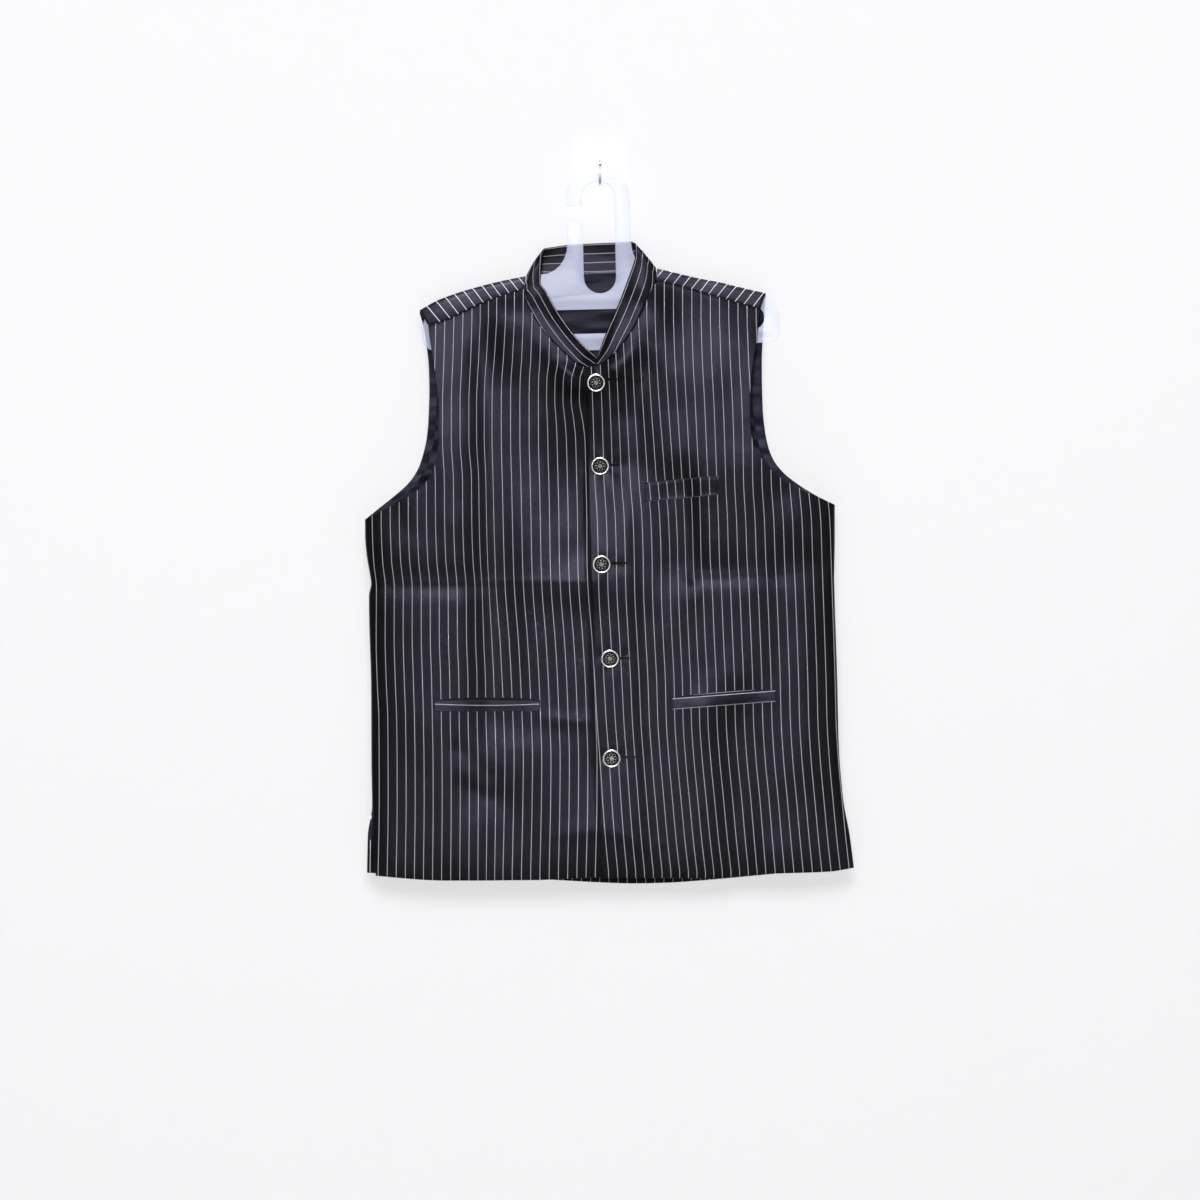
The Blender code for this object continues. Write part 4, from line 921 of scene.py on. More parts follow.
def front_places(side):
    """x and z of a front's fine grid, from the shoulder seam to the hem."""
    name, rows, shoulder, _ = FRONTS[side]
    spread = np.linspace(0, 1, FRONT_COLUMNS)
    spread = 0.5 * spread + 0.5 * np.sin(spread * math.pi / 2)
    down = np.linspace(0, len(rows) - 1, UPPER_ROWS)[:, None]
    x, z = upper_places(rows, down, spread)
    seam = read(shoulder, "seam_x", "seam_z", x[0]) - SEAM_GAP
    z = z + (seam - z[0]) * np.maximum(1 - down, 0)
    armpit, shift = rows[-1].outer_z, 0.0 if side > 0 else LAP_WIDTH
    low_x, low_z = skirt_places(armpit, armpit, "closure", shift, name, "front_z", spread)
    return np.concatenate([x, low_x]), np.concatenate([z, low_z])


def part_side_seam(points, turned, first, edge, side, way, level):
    """Parts a side edge from its neighbour and, along the slit, turns it to way, 1 is back."""
    slit = smooth_step(SLIT_TOP_Z, SLIT_TOP_Z - SLIT_BLEND, level[first:])
    points[first:, edge, 1] += way * 0.5 * SEAM_GAP
    turned[first:, edge] = np.stack([side + 0 * slit, way * SLIT_TURN * slit, 0 * slit], axis=-1)


def make_front(side):
    """One front, its stripes laid by the table and its inside faced with lining."""
    name, _, _, stripes = FRONTS[side]
    x, z = front_places(side)
    points = np.stack([x, panel_y(side, x, z), z], axis=-1)
    uv = np.stack([stripe_number(stripes, x, z) * STRIPE_PITCH, -z], axis=-1)
    turned = np.zeros_like(points)
    turned[0] = FORWARD
    part_side_seam(points, turned, UPPER_ROWS - 1, -1, side, -1, z[:, -1])
    quads = grid_quads(numbered(*x.shape))
    obj = shell(name + "_cloth", points, uv, FRONT_WALL, ("suiting", "lining"), turned,
                quads[:, ::side])
    settle(obj, "suiting", name)


def neck_stations():
    return [station for station in COLLAR_BACK if station.face_y > NECK_FACING]


def back_top_line():
    """The back's top edge: ridge tangents at the shoulders, the collar seam between them."""
    def ridge(shoulder):
        return [(s.ridge_x, HANG_PLANE + RIDGE_RADIUS, s.ridge_z - RIDGE_RADIUS)
                for s in shoulder]

    neck = [(s.foot_x, s.foot_y, s.foot_z - SEAM_GAP) for s in neck_stations()]
    return ridge(SHOULDER_RIGHT[::-1]) + neck + ridge(SHOULDER_LEFT)


def back_columns():
    """Places of the fine columns, counted in the points of the top line."""
    last = len(SHOULDER_RIGHT) - 1
    neck_last = last + len(neck_stations()) + 1
    return np.concatenate([np.linspace(0, last, SHOULDER_COLUMNS),
                           np.linspace(last, neck_last, NECK_COLUMNS)[1:-1],
                           np.linspace(neck_last, neck_last + last, SHOULDER_COLUMNS)])


def back_body():
    """Fine grid of the back below the ridge: points and their uv."""
    at = back_columns()
    line_x, line_y, line_z = along(back_top_line(), at)
    spread = (line_x - line_x[0]) / (line_x[-1] - line_x[0])
    straight = np.linspace(0, 1, len(at))
    even = 0.5 * (0.5 - 0.5 * np.cos(math.pi * straight)) + 0.5 * straight
    last = len(BACK_ROWS) - 1
    down = np.linspace(0, last, BACK_UPPER_ROWS)[:, None]
    blend = smooth_step(0, last, down)
    x, z = upper_places(BACK_ROWS, down, spread * (1 - blend) + even * blend)
    z = z + (line_z - z[0]) * (1 - down / last) ** 2
    y = back_y(x, z)
    y = y + (line_y - y[0]) * np.maximum(1 - down, 0) ** 2
    right_z, left_z = BACK_ROWS[-1].inner_z, BACK_ROWS[-1].outer_z
    low_x, low_z = skirt_places(right_z, right_z + (left_z - right_z) * even, "back_right", 0.0,
                                "back_left", "back_z", even)
    x, z = np.concatenate([x, low_x]), np.concatenate([z, low_z])
    y = np.concatenate([y, back_y(low_x, low_z)])
    sway = 0.0016 * np.sin(5.2 * z + 0.6) + 0.0010 * np.sin(17 * z + 9 * x)
    uv = np.stack([x + sway * smooth_step(-0.15, -0.30, z), -z], axis=-1)
    return np.stack([x, y, z], axis=-1), uv


def shoulder_strip(side):
    """The back carried over the hanger and rounded down to the seam in front."""
    shoulder = SHOULDER_LEFT if side > 0 else SHOULDER_RIGHT[::-1]
    at = np.linspace(0, len(shoulder) - 1, SHOULDER_COLUMNS)
    ridge_x, ridge_z, seam_x, seam_z = along(shoulder, at)
    seam_y = front_y(seam_x, seam_z, fine=False)
    rows, places = [], []
    for angle in np.linspace(0, math.pi / 2, RIDGE_ROWS + 1)[1:]:
        y = HANG_PLANE + RIDGE_RADIUS * math.cos(angle) + 0 * at
        z = ridge_z - RIDGE_RADIUS * (1 - math.sin(angle))
        rows.append(np.stack([ridge_x, y, z], axis=-1))
        places.append(np.full_like(at, RIDGE_RADIUS * (angle - math.pi / 2)))
    for angle in np.linspace(0, math.pi / 2, YOKE_ROWS + 1)[1:]:
        down = 1 - math.cos(angle)
        out = math.sqrt(1 - math.cos(angle) ** YOKE_ROUNDNESS)
        waver = 0.0003 * np.sin(90 * ridge_x) * math.sin(2 * angle)
        y = HANG_PLANE + (seam_y - HANG_PLANE) * out - waver
        x, z = ridge_x + (seam_x - ridge_x) * down, ridge_z + (seam_z - ridge_z) * down
        rows.append(np.stack([x, y, z], axis=-1))
        places.append(np.hypot((HANG_PLANE - seam_y) * out, (ridge_z - seam_z) * down))
    points, down = np.array(rows), np.array(places)
    lean = -side * SHOULDER_LEAN * np.maximum(down, 0)
    return points, np.stack([points[..., 0] - lean, 0.15 + down], axis=-1)


FACING_TOP_Z = -0.815      # below this the inside of the back is faced with suiting


def make_back():
    """The back with its shoulder strips, in one piece."""
    body, body_uv = back_body()
    rows, columns = body.shape[:2]
    turned = np.zeros_like(body)
    for edge, side in ((0, -1), (-1, 1)):
        part_side_seam(body, turned, BACK_UPPER_ROWS - 1, edge, side, 1, body[:, 0, 2])
    grids = [(body, body_uv, turned)]
    quads = [grid_quads(numbered(rows, columns))[:, ::-1]]
    start = rows * columns
    for side, first in ((-1, 0), (1, columns - SHOULDER_COLUMNS)):
        strip, strip_uv = shoulder_strip(side)
        top = np.arange(first, first + SHOULDER_COLUMNS)
        below = numbered(*strip.shape[:2], start)
        quads.append(grid_quads(np.concatenate([[top], below])))
        turned = np.zeros_like(strip)
        turned[-1] = FORWARD
        grids.append((strip, strip_uv, turned))
        start += below.size
    points, uv, turned = (np.concatenate([grid.reshape(-1, grid.shape[-1]) for grid in part])
                          for part in zip(*grids))
    obj = shell("back_cloth", points, uv, BACK_WALL, ("suiting", "lining"), turned,
                np.concatenate(quads))
    for face in obj.data.polygons:
        if face.center.z < FACING_TOP_Z:
            face.material_index = 0
    settle(obj, "suiting", "back")


LINING_TRIM, LINING_SHORT = 3, 9       # columns and rows that it ends inside the back's edges
LINING_GAP, LINING_WAVER = 0.0003, 0.0004


def make_lining():
    """Satin lining of the back, seen through the neck and the armholes."""
    body, uv = back_body()
    outward = np.cross(np.gradient(body, axis=1), np.gradient(body, axis=0))
    outward /= np.linalg.norm(outward, axis=-1, keepdims=True)
    inside = body - outward * (BACK_WALL + LINING_GAP) * np.sign(outward[..., 1:2])
    x, z = inside[..., 0], inside[..., 2]
    inside[..., 1] -= LINING_WAVER * (1 + np.sin(70 * x + 30 * z) * np.sin(23 * z - 40 * x))
    inside[0] += 0.35 * (inside[1] - inside[0])
    part = slice(0, -LINING_SHORT), slice(LINING_TRIM, -LINING_TRIM)
    obj = shell("back_lining_satin", inside[part], uv[part], -LINING_WALL, ("lining", "lining"))
    settle(obj, "lining", "back_lining")


def collar_stations():
    """Foot, top, facing and stripes of the band, from its right end round to its left end."""
    def front(side, x, z, top_x, top_z):
        reach = math.hypot(top_x - x, top_z - z)
        foot_x = x + (top_x - x) / reach * COLLAR_STAND
        foot_z = z + (top_z - z) / reach * COLLAR_STAND
        y = float(panel_y(side, np.array([x]), np.array([z]), fine=False)[0])
        y = min(y, COLLAR_FOOT_Y)
        top_y = min(y + COLLAR_LEAN, COLLAR_TOP_Y)
        return (foot_x, y, foot_z, top_x, top_y, top_z, 0.0, -1.0, *BAND_STRIPES[side])

    ends = []
    for side, tops, end in ((-1, COLLAR_RIGHT_TOPS, COLLAR_RIGHT_END),
                            (1, COLLAR_LEFT_TOPS, COLLAR_LEFT_END)):
        places = [(row.inner_x, row.inner_z, *top) for row, top in zip(FRONTS[side][1], tops)]
        ends.append([front(side, *place) for place in places + end])
    return ends[0][::-1] + [(*row, *BAND_STRIPES["back"]) for row in COLLAR_BACK] + ends[1]


def make_collar():
    """Stand-up band with stripes along it."""
    stations = collar_stations()
    last = len(stations) - 1
    at = np.linspace(0, last, COLLAR_STEPS * last + 1)
    sizes = np.stack(along(stations, at), axis=-1)[:, None]
    foot, top, start, pitch = sizes[..., :3], sizes[..., 3:6], sizes[..., 8], sizes[..., 9]
    facing = np.concatenate([sizes[..., 6:8], 0 * sizes[..., :1]], axis=-1)
    facing /= np.linalg.norm(facing, axis=-1, keepdims=True)
    across = np.linspace(0, 1, COLLAR_ROWS)[None, :]
    a = across[..., None]
    points = foot * (1 - a) + top * a + facing * COLLAR_BOW * np.sin(math.pi * a)
    steps = np.linalg.norm(np.diff(foot[:, 0], axis=0), axis=1)
    length = np.concatenate([[0], np.cumsum(steps)])[:, None]
    points = points + facing * COLLAR_WAVER * np.sin(70 * length + 5 * across)[..., None]
    below_top = (1 - across) * np.linalg.norm(top - foot, axis=-1)
    stripes = (start - below_top) * STRIPE_PITCH / pitch
    uv = np.stack(np.broadcast_arrays(stripes, length), axis=-1)
    obj = shell("collar_cloth", points, uv, COLLAR_WALL, ("suiting", "suiting"), facing,
                grid_quads(numbered(*points.shape[:2]))[:, ::-1])
    settle(obj, "suiting", "collar")


def make_size_tab():
    """Small woven tab sewn in under the collar, curled a little at its free end."""
    low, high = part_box("size_label")
    t = np.linspace(0, 1, 8)[:, None]
    x, z = np.broadcast_arrays(np.linspace(low.x, high.x, 9), high.z + (low.z - high.z) * t)
    waver = 0.0002 * np.sin(3 * math.pi * (x - low.x) / (high.x - low.x))
    y = low.y - 0.0012 - 0.0004 * t ** 2 + waver
    obj = shell("size_tab", np.stack([x, y, z], axis=-1), np.stack([x, z], axis=-1), 0.0005,
                ("tab",), FORWARD)
    settle(obj, "label", "size_label")


# ------------------------------------------------------------------ pockets
def welt_side(welt):
    return 1 if welt.inner_x > 0 else -1


def welt_top(welt, share):
    """x and z along the top edge of a welt."""
    return (welt.inner_x + (welt.outer_x - welt.inner_x) * share,
            welt.inner_top + (welt.outer_top - welt.inner_top) * share)


def make_welt(name, section, uv_of, slack=0.0):
    """A pocket welt: a strip on a front with a folded lip at its top and bottom."""
    welt = WELTS[name]
    side = welt_side(welt)
    share = np.linspace(0, 1, WELT_COLUMNS)
    down = column(WELT_SECTION, "down")[:, None]
    drop = welt.height * down
    top_x, top_z = welt_top(welt, share)
    x, z = top_x + welt.lean * down, top_z - drop
    sag = np.sin(math.pi * share)
    y = panel_y(side, x, z) - column(WELT_SECTION, section)[:, None] - slack * sag * (1 - down)
    uv = np.stack(np.broadcast_arrays(*uv_of(x, z, drop, sag)), axis=-1)
    obj = shell(name + "_cloth", np.stack([x, y, z], axis=-1), uv, WELT_WALL,
                ("suiting", "suiting"), FORWARD)
    settle(obj, "suiting", name)


def make_chest_welt():
    """Breast pocket welt, its stripes nearly matched to the front."""
    def stripes(x, z, drop, sag):
        return stripe_number(LEFT_STRIPES, x, z) * STRIPE_PITCH - 0.0018, -z

    make_welt("chest_welt", "chest", stripes)


def make_hip_welt(name, first_stripe, stretch, bend):
    """Hip pocket welt, cut with its stripes lengthwise."""
    def stripes(x, z, drop, sag):
        return (drop - first_stripe - bend * sag) / stretch, x

    make_welt(name, "hip", stripes, slack=0.0008)


def strip_on_front(name, side, x, z, lift, look, thickness=STRIP_WALL):
    """A narrow strip of cloth or thread that lies on a front."""
    x, z = np.broadcast_arrays(x, z)
    obj = shell(name, np.stack([x, panel_y(side, x, z) - lift, z], axis=-1),
                np.stack([x, z], axis=-1), thickness, (look,), FORWARD)
    settle(obj, "suiting")


def make_welt_line(name, welt_name, height, rise, inset, look, lift):
    """Thin strip along a welt: painted shade in the opening above it, or a painted highlight on an
    edge.
    """
    welt = WELTS[welt_name]
    share = np.linspace(inset, 1 - inset, 40)
    x, top = welt_top(welt, share)
    lens = np.sin(math.pi * np.linspace(0.04, 0.96, 40)) ** 0.6
    z = top + rise + height * lens * np.linspace(1, 0, 4)[:, None]
    strip_on_front(name, welt_side(welt), x, z, lift, look)


def make_bar_tacks(name):
    """Close stitches that hold both ends of a welt."""
    welt = WELTS[name]
    for word, end_x, top in (("inner", welt.inner_x, welt.inner_top),
                             ("outer", welt.outer_x, welt.outer_top)):
        x = end_x + TACK_WIDTH * np.linspace(-0.5, 0.5, 3)
        z = np.linspace(top + TACK_OVER, top - welt.height - TACK_OVER, 26)[:, None]
        strip_on_front(f"{name}_tack_{word}", welt_side(welt), x, z, TACK_LIFT, "thread",
                       TACK_WALL)


# ------------------------------------------------------------------ buttons
RIM_WIDTH, RIM_RISE, RIM_STRETCH = 0.0026, 0.0017, 1.2
FIELD_DEPTH, FIELD_UNDER_RIM = 0.0016, 0.0003
FIELD_RISES = (0.00034, 0.00028, 0.00020, 0.00012, 0.00005)
BUTTON_SEAT = 0.0002       # how deep a button sits in the cloth under it


def add_primitive(operator, name, **settings):
    deselect()
    operator(**settings)
    return named(name)


def named(name):
    """Names the active object and its mesh."""
    obj = bpy.context.object
    obj.name = obj.data.name = name
    return obj


def joined(name, pieces):
    only(pieces[0])
    for piece in pieces[1:]:
        piece.select_set(True)
    bpy.ops.object.join()
    return named(name)


def rim_master(radius):
    """Rim of a button lying flat: a rounded ring, a little higher than wide."""
    ring = add_primitive(bpy.ops.mesh.primitive_torus_add, "rim_master",
                         major_radius=radius - RIM_WIDTH / 2, minor_radius=RIM_WIDTH / 2,
                         major_segments=72, minor_segments=18)
    ring.scale = (1, 1, RIM_STRETCH)
    ring.location = (0, 0, RIM_RISE)
    dress(place_in_mesh(ring), "rim")
    return ring


def field_master(radius):
    """Dark domed field inside the rim, made from a disc by insets raised one by one."""
    inner = radius - RIM_WIDTH + FIELD_UNDER_RIM
    field = add_primitive(bpy.ops.mesh.primitive_cylinder_add, "field_master", vertices=64,
                          radius=inner, depth=FIELD_DEPTH, location=(0, 0, FIELD_DEPTH / 2))
    bpy.ops.object.mode_set(mode="EDIT")
    bpy.ops.mesh.select_all(action="DESELECT")
    bpy.ops.mesh.select_mode(type="FACE")
    bpy.ops.object.mode_set(mode="OBJECT")
    for face in field.data.polygons:
        face.select = face.normal.z > 0.9
    bpy.ops.object.mode_set(mode="EDIT")
    for rise in FIELD_RISES:
        bpy.ops.mesh.inset(thickness=inner / (len(FIELD_RISES) + 1.5))
        bpy.ops.transform.translate(value=(0, 0, rise))
    bpy.ops.object.mode_set(mode="OBJECT")
    dress(field, "field", 40)
    return field


# grains of the filigree: distance from the middle, turn, length, width, height and lift;
# one in the middle, and those that each petal has at its angle and between it and the next
FILIGREE_MIDDLE = (0.0, 0.0, 0.00075, 0.00075, 0.0006, 0.00275)
FILIGREE_PETAL = (0.0020, 0.0, 0.00085, 0.00046, 0.0005, 0.0027)
FILIGREE_BEAD = (0.0047, 0.0, 0.00078, 0.00058, 0.0005, 0.00235)
FILIGREE_PAIR = [(0.0064, turn, 0.00034, 0.00034, 0.0003, 0.0019) for turn in (-0.12, 0.12)]


def filigree_master(petals):
    """Generic flower in filigree: a centre, a ring of petals and rings of beads."""
    def grain(angle, distance, turn, length, width, height, lift):
        angle += turn
        piece = add_primitive(bpy.ops.mesh.primitive_uv_sphere_add, "grain", segments=10,
                              ring_count=6, radius=1)
        piece.scale = (length, width, height)
        piece.rotation_euler = (0, 0, angle)
        piece.location = (distance * math.cos(angle), distance * math.sin(angle), lift)
        return place_in_mesh(piece)

    grains = [grain(0.0, *FILIGREE_MIDDLE)]
    for k in range(petals):
        angle = 2 * math.pi * k / petals
        grains.append(grain(angle, *FILIGREE_PETAL))
        grains.append(grain(angle + math.pi / petals, *FILIGREE_BEAD))
        grains += [grain(angle, *size) for size in FILIGREE_PAIR]
    master = joined("filigree_master", grains)
    dress(master, "filigree")
    return master


def place_copy(master, name, centre, turn):
    """A copy of a piece made lying flat, turned, stood up to face the viewer and placed."""
    obj = link(bpy.data.objects.new(name, master.data.copy()))
    obj.rotation_euler = (0, 0, turn)
    place_in_mesh(obj)
    obj.rotation_euler = (math.pi / 2, 0, 0)
    obj.location = centre
    return place_in_mesh(obj)


def make_buttons(settings):
    masters = (("rim", "button_rim", rim_master(settings.radius)),
               ("field", "button_core", field_master(settings.radius)),
               ("filigree", "button_rim", filigree_master(settings.petals)))
    ring = np.linspace(0, 2 * math.pi, 24)
    for number, button in enumerate(BUTTONS, start=1):
        under = panel_y(1, button.x + settings.radius * np.cos(ring),
                        button.z + settings.radius * np.sin(ring))
        centre = Vector((button.x, under.min() + BUTTON_SEAT, button.z))
        for word, slot, master in masters:
            obj = place_copy(master, f"button_{word}_{number}_metal", centre, button.turn)
            settle(obj, slot, *([] if word == "filigree" else [f"{slot}_{number}"]))
    for _, _, master in masters:
        bpy.data.objects.remove(master)


HOLE_HALF, HOLE_STITCHES, HOLE_SIDES = 0.0012, 64, 6
HOLE_START = 0.004         # from the middle of the button
STITCH, STITCH_STEP, STITCH_LIFT = 0.00042, 0.00010, 0.0002
SLIT_HALF, SLIT_LIFT = 0.0007, 0.0003


def hole_path(start, end, z0):
    """Points round a buttonhole: two straight sides and two half circles."""
    half = HOLE_HALF
    straight, bend = end - start - 2 * half, math.pi * half
    path = []
    for k in range(HOLE_STITCHES):
        t = k / HOLE_STITCHES * (2 * straight + 2 * math.pi * half)
        if t < straight:
            path.append((start + half + t, z0 + half))
        elif t < straight + bend:
            a = (t - straight) / half
            path.append((end - half + half * math.sin(a), z0 + half * math.cos(a)))
        elif t < 2 * straight + bend:
            path.append((end - half - (t - straight - bend), z0 - half))
        else:
            a = (t - 2 * straight - bend) / half
            path.append((start + half - half * math.sin(a), z0 - half * math.cos(a)))
    return path


def make_buttonhole(number, button):
    """Worked buttonhole: a low ridge of buttonhole stitches round a dark strip of painted shade in
    its slit.
    """
    start, end, z0 = button.x + HOLE_START, button.hole_end, button.hole_z
    path = hole_path(start, end, z0)
    y = panel_y(1, *np.array(path).T)
    viewer = Vector(FORWARD)
    points = []
    for k, (x, z) in enumerate(path):
        stitch = STITCH + STITCH_STEP * (k % 2)
        ahead, behind = path[(k + 1) % HOLE_STITCHES], path[k - 1]
        way = Vector((ahead[0] - behind[0], 0, ahead[1] - behind[1])).normalized()
        out = way.cross(viewer)
        for j in range(HOLE_SIDES):
            angle = 2 * math.pi * j / HOLE_SIDES
            offset = out * math.cos(angle) * stitch + viewer * math.sin(angle) * stitch
            points.append(tuple(Vector((x, y[k] - STITCH_LIFT, z)) + offset))
    index = numbered(HOLE_STITCHES, HOLE_SIDES)
    after, ahead = np.roll(index, -1, axis=1), np.roll(index, -1, axis=0)
    quads = np.stack([index, after, np.roll(after, -1, axis=0), ahead], axis=-1).reshape(-1, 4)
    mesh = bpy.data.meshes.new(f"buttonhole_{number}")
    mesh.from_pydata(points, [], quads.tolist())
    obj = link(bpy.data.objects.new(f"buttonhole_{number}", mesh))
    dress(obj, "thread")
    settle(obj, "suiting")
    # dark strip along the slit: painted shade
    strip_on_front(f"buttonhole_slit_{number}", 1,
                   np.linspace(start + HOLE_HALF, end - HOLE_HALF, 16),
                   z0 + np.linspace(SLIT_HALF, -SLIT_HALF, 3)[:, None], SLIT_LIFT, "painted_shade")


# ------------------------------------------------------------------ hanger and hook
# node, name, slot, look, width of the bevel, its segments, from how many degrees
HOOK_PARTS = [
    ("hook_plate", "hook_plate_clear", "hook_clear", "clear", 0.0004, 2, 50),
    ("hook_boss", "hook_boss_clear", "hook_clear", "clear", 0.0005, 3, 30),
]
MOULDED_CREASE = 35
WIRE_RADIUS, WIRE_TIP_TAPER = 0.0016, 0.55
WIRE_STEM = [(-0.0067, 0.0012), (-0.0120, 0.0007), (-0.0168, -0.0026), (-0.0190, -0.0085),
             (-0.0195, -0.0150)]
WIRE_BEND, WIRE_BEND_Z, WIRE_BEND_STEPS = 0.0055, -0.0212, 8
WIRE_TIP_Z, WIRE_TIP_LENGTH = -0.0136, 0.0010


def make_moulded(node, name, slot, look, width, segments, degrees):
    """A CAD node with its edges rounded, for the hanger and the hook's plastic parts."""
    obj = copy_of_node(node, name)
    bevel(obj, width, segments, degrees)
    dress(obj, look, MOULDED_CREASE)
    settle(obj, slot, node)


def make_hook_wire():
    """The J of wire, with a rounded tip."""
    path = [(0, y, z) for y, z in WIRE_STEM]
    for k in range(WIRE_BEND_STEPS + 1):
        angle = math.pi * k / WIRE_BEND_STEPS
        path.append((0, HANG_PLANE + WIRE_BEND * math.cos(angle),
                     WIRE_BEND_Z - WIRE_BEND * math.sin(angle)))
    path += [(0, HANG_PLANE - WIRE_BEND, WIRE_TIP_Z - WIRE_TIP_LENGTH),
             (0, HANG_PLANE - WIRE_BEND, WIRE_TIP_Z)]
    data = bpy.data.curves.new("hook_wire_steel", "CURVE")
    data.dimensions, data.bevel_depth, data.bevel_resolution = "3D", WIRE_RADIUS, 5
    data.use_fill_caps, data.resolution_u = True, 6
    spline = data.splines.new("BEZIER")
    spline.bezier_points.add(len(path) - 1)
    for point, place in zip(spline.bezier_points, path):
        point.co = place
        point.handle_left_type = point.handle_right_type = "AUTO"
    spline.bezier_points[-1].radius = WIRE_TIP_TAPER
    only(link(bpy.data.objects.new("hook_wire_steel", data)))
    bpy.ops.object.convert(target="MESH")
    dress(bpy.context.object, "steel")
    settle(bpy.context.object, "hook_wire", "hook_wire")


# ------------------------------------------------------------------ stage
KEY_COLOUR, WHITE, WALL_COLOUR = (0.88, 0.90, 1.0), (1, 1, 1), (1.0, 0.995, 0.99)
KEY_PLACE = (-0.60, -10.2, 2.35)
AIM, LOW_AIM = (0, 0, -0.45), (0, 0, -1.25)
# name, place, size, share of the key's power, colour, what it lights, what casts shadows
LAMPS = [
    ("key_light", KEY_PLACE, 2.0, 0.95, KEY_COLOUR, "jacket_pieces", "jacket_pieces"),
    ("fill_light", (3.4, -4.6, -0.6), 2.4, 0.032, WHITE, "jacket_pieces", "jacket_pieces"),
    ("top_light", (0.1, -0.8, 4.8), 1.4, 0.20, KEY_COLOUR, "jacket_pieces", "jacket_pieces"),
    ("shoulder_light", (-0.6, -5.2, 4.4), 1.4, 1.1, KEY_COLOUR, "shoulder_pieces",
     "jacket_pieces"),
    ("wall_light", (-0.2, -9.0, 0.2), 4.4, 1.30, WALL_COLOUR, "room", "room"),
    ("wall_shadow_light", (-0.2, -9.0, 5.5), 4.4, 0.66, WALL_COLOUR, "room", "cloth_pieces"),
    ("back_light", (1.15, 10.2, 2.35), 2.0, 0.5, KEY_COLOUR, "cloth_pieces", "jacket_pieces"),
    ("back_fill_light", (-3.4, 4.6, -0.6), 2.4, 0.08, WHITE, "cloth_pieces",
     "jacket_pieces"),
]
LOW_KEY_SIZE, LOW_KEY_SHARE, LOW_KEY_SPREAD = 0.3, 0.0025, 9.5     # lifts the lower cloth
SKY_COLOUR, SKY_STRENGTH = (0.96, 0.98, 1.0, 1), 0.20
WALL_SIZE, WALL_Y, WALL_Z, FLOOR_SIZE, FLOOR_Z = 10, 0.0003, 0.3, 24, -1.75
SENSOR, VIEW_HEIGHT, JACKET_Y, EYE_Z = 36, 1.44, -0.035, -0.5268


def one_sided_paint(name, colour):
    """Smooth paint that is clear from behind, so that the stage never hides the jacket."""
    paint = grained(name, colour, 0.85, 0.0, (14.0, 4.0), (0.04, 0.002))
    clear = paint.add("BsdfTransparent")
    behind = paint.add("NewGeometry", output=6)
    mix = paint.tree.nodes.new("ShaderNodeMixShader")
    shown = paint.wire(mix, enumerate((behind, paint.shader.outputs[0], clear)))
    paint.feed(paint.tree.nodes["Material Output"].inputs[0], shown)
    return paint.material


def make_room(settings):
    """Plain wall and floor."""
    wall = add_primitive(bpy.ops.mesh.primitive_plane_add, "stage_wall", size=WALL_SIZE,
                         location=(0, WALL_Y, WALL_Z), rotation=(math.pi / 2, 0, 0))
    floor = add_primitive(bpy.ops.mesh.primitive_plane_add, "stage_floor", size=FLOOR_SIZE,
                          location=(0, 0, FLOOR_Z))
    wall.data.materials.append(one_sided_paint("wall_paint", settings.wall))
    floor.data.materials.append(one_sided_paint("floor_paint", settings.floor))
    place_in_mesh(wall)
    place_in_mesh(floor)
    return wall, floor


def light_group(name, wanted):
    """A collection of the objects that some lights are meant for."""
    group = bpy.data.collections.new(name)
    bpy.context.scene.collection.children.link(group)
    for obj in bpy.context.scene.objects:
        if obj.type == "MESH" and wanted(obj):
            group.objects.link(obj)
    return group


def add_area(name, place, size, power, colour, lit, shading, aim=AIM):
    """A large soft lamp that lights one group and is shaded by another."""
    data = bpy.data.lights.new(name, "AREA")
    data.shape, data.size, data.energy, data.color = "SQUARE", size, power, colour
    obj = link(bpy.data.objects.new(name, data))
    obj.location = place
    obj.rotation_euler = (Vector(aim) - Vector(place)).to_track_quat("-Z", "Y").to_euler()
    obj.visible_camera = False
    obj.light_linking.receiver_collection = lit
    obj.light_linking.blocker_collection = shading
    return data


def make_stage(settings):
    """The jacket and the wall are lit apart, as in a studio, so that its shadow stays faint."""
    scene = bpy.context.scene
    room = make_room(settings)
    groups = {name: light_group(name, wanted) for name, wanted in (
        ("jacket_pieces", lambda obj: obj not in room),
        ("cloth_pieces", lambda obj: "cloth" in obj.name or "satin" in obj.name),
        ("room", lambda obj: obj in room),
        ("shoulder_pieces", lambda obj: obj.name == "back_cloth"))}
    for name, place, size, share, colour, lit, shading in LAMPS:
        add_area(name, place, size, share * settings.key, colour, groups[lit], groups[shading])
    jacket = groups["jacket_pieces"]
    low = add_area("low_key_light", KEY_PLACE, LOW_KEY_SIZE, LOW_KEY_SHARE * settings.key,
                   KEY_COLOUR, jacket, jacket, LOW_AIM)
    low.spread = math.radians(LOW_KEY_SPREAD)
    world = bpy.data.worlds.new("studio")
    world.use_nodes = True
    sky = world.node_tree.nodes["Background"]
    sky.inputs[0].default_value, sky.inputs[1].default_value = SKY_COLOUR, SKY_STRENGTH
    scene.world = world
    scene.view_settings.view_transform = "Standard"
    camera = bpy.data.cameras.new("camera")
    camera.sensor_width = SENSOR
    camera.lens = SENSOR * settings.distance / VIEW_HEIGHT
    eye = link(bpy.data.objects.new("camera", camera))
    eye.location = (0, JACKET_Y - settings.distance, EYE_Z)
    eye.rotation_euler = (math.pi / 2, 0, 0)
    scene.camera = eye


# ------------------------------------------------------------------ operators
class JACKET_OT_fronts(bpy.types.Operator):
    """Make the two fronts"""
    bl_idname = "jacket.fronts"
    bl_label = "Fronts"

    def execute(self, context):
        make_front(-1)
        make_front(1)
        return {"FINISHED"}


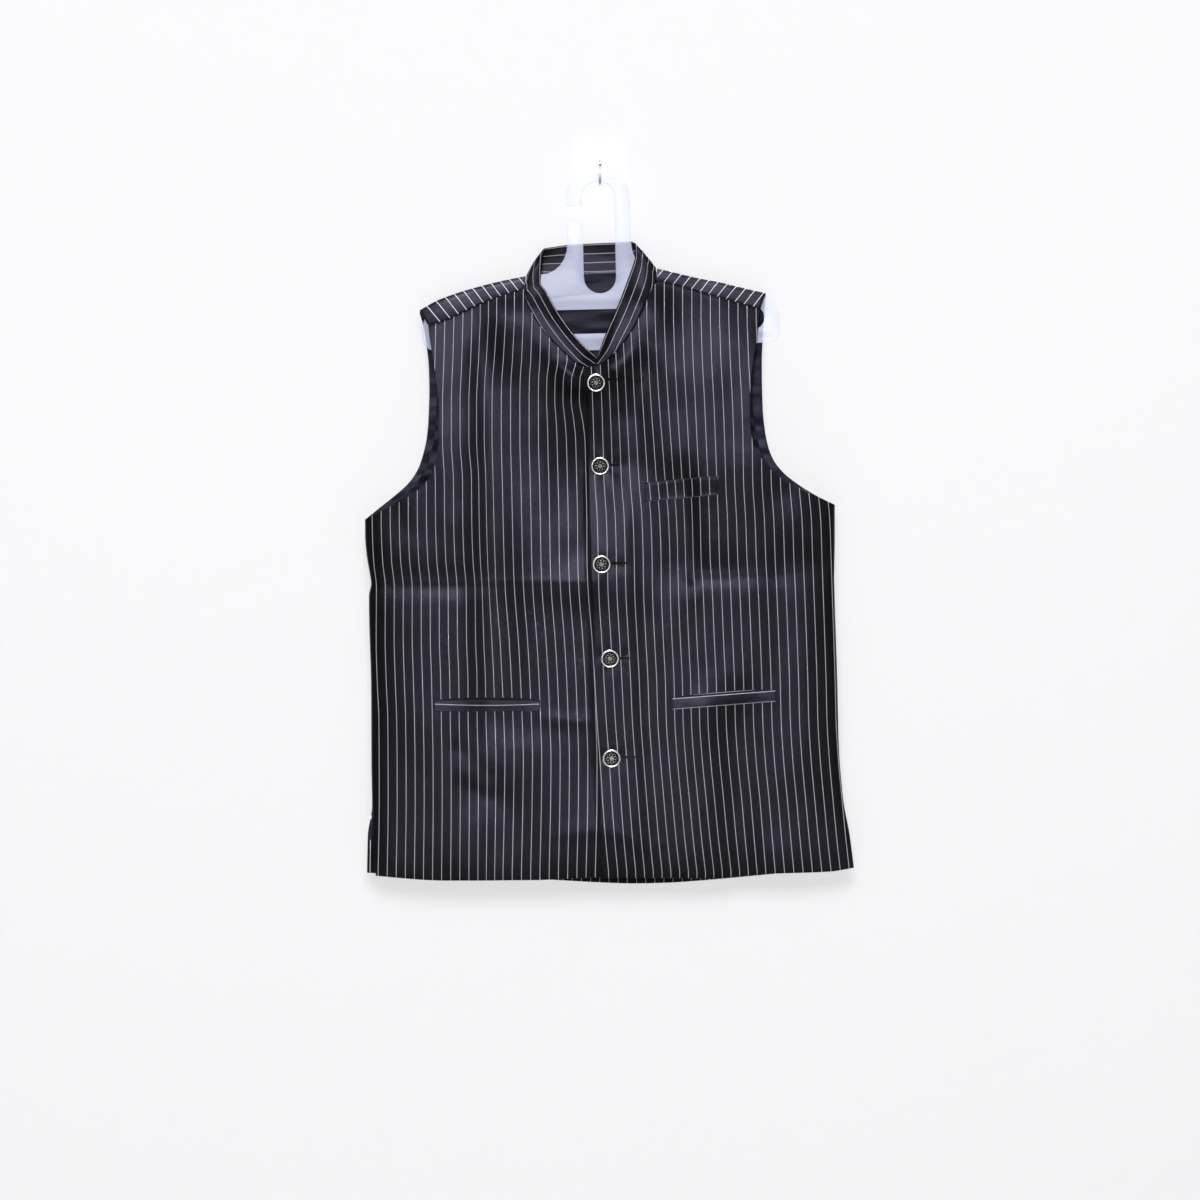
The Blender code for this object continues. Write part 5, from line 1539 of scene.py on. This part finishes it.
class JACKET_OT_back(bpy.types.Operator):
    """Make the back with its shoulder strips, and its lining"""
    bl_idname = "jacket.back"
    bl_label = "Back and lining"

    def execute(self, context):
        make_back()
        make_lining()
        return {"FINISHED"}


class JACKET_OT_collar(bpy.types.Operator):
    """Make the band collar and the size tab under it"""
    bl_idname = "jacket.collar"
    bl_label = "Collar and size tab"

    def execute(self, context):
        make_collar()
        make_size_tab()
        return {"FINISHED"}


class JACKET_OT_pockets(bpy.types.Operator):
    """Make the pocket welts, the painted shade in their openings and the painted highlights on
    their edges
    """
    bl_idname = "jacket.pockets"
    bl_label = "Pockets"

    def execute(self, context):
        make_chest_welt()
        make_hip_welt("hip_welt_right", 0.0044, 1.0, 0.0016)
        make_hip_welt("hip_welt_left", 0.0003, 1.14, 0.0)
        for line in WELT_LINES:
            make_welt_line(*line)
        make_bar_tacks("hip_welt_right")
        make_bar_tacks("hip_welt_left")
        return {"FINISHED"}


class JACKET_OT_buttons(bpy.types.Operator):
    """Make the buttons and the worked buttonholes"""
    bl_idname = "jacket.buttons"
    bl_label = "Buttons and buttonholes"

    def execute(self, context):
        make_buttons(context.scene.jacket_buttons)
        for number, button in enumerate(BUTTONS, start=1):
            make_buttonhole(number, button)
        return {"FINISHED"}


class JACKET_OT_hanger(bpy.types.Operator):
    """Make the frosted hanger, the clear hook plate and its wire"""
    bl_idname = "jacket.hanger"
    bl_label = "Hanger and hook"

    def execute(self, context):
        edge = context.scene.jacket_hanger.edge
        make_moulded("hanger", "hanger_plate", "hanger_plastic", "hanger", edge, 3, 50)
        for part in HOOK_PARTS:
            make_moulded(*part)
        make_hook_wire()
        return {"FINISHED"}


class JACKET_OT_stage(bpy.types.Operator):
    """Make the wall, the floor, the lights and the camera"""
    bl_idname = "jacket.stage"
    bl_label = "Stage"

    def execute(self, context):
        make_stage(context.scene.jacket_stage)
        return {"FINISHED"}


OPERATORS = (JACKET_OT_fronts, JACKET_OT_back, JACKET_OT_collar, JACKET_OT_pockets,
             JACKET_OT_buttons, JACKET_OT_hanger, JACKET_OT_stage)
SETTINGS = {"jacket_cloth": ClothSettings, "jacket_buttons": ButtonSettings,
            "jacket_hanger": HangerSettings, "jacket_stage": StageSettings}


class JACKET_PT_panel(bpy.types.Panel):
    bl_idname = "JACKET_PT_panel"
    bl_label = "Jacket"
    bl_space_type = "VIEW_3D"
    bl_region_type = "UI"
    bl_category = "Jacket"

    def draw(self, context):
        for name, group in SETTINGS.items():
            box = self.layout.box()
            for field in group.__annotations__:
                box.prop(getattr(context.scene, name), field)
        for operator in OPERATORS:
            self.layout.operator(operator.bl_idname)


CLASSES = (*SETTINGS.values(), *OPERATORS, JACKET_PT_panel)


def register():
    for cls in CLASSES:
        bpy.utils.register_class(cls)
    for name, group in SETTINGS.items():
        setattr(bpy.types.Scene, name, bpy.props.PointerProperty(type=group))


def unregister():
    for name in SETTINGS:
        delattr(bpy.types.Scene, name)
    for cls in reversed(CLASSES):
        bpy.utils.unregister_class(cls)


def main():
    register()
    bpy.ops.jacket.fronts()
    bpy.ops.jacket.back()
    bpy.ops.jacket.collar()
    bpy.ops.jacket.pockets()
    bpy.ops.jacket.buttons()
    bpy.ops.jacket.hanger()
    bpy.ops.jacket.stage()


if __name__ == "__main__":
    main()
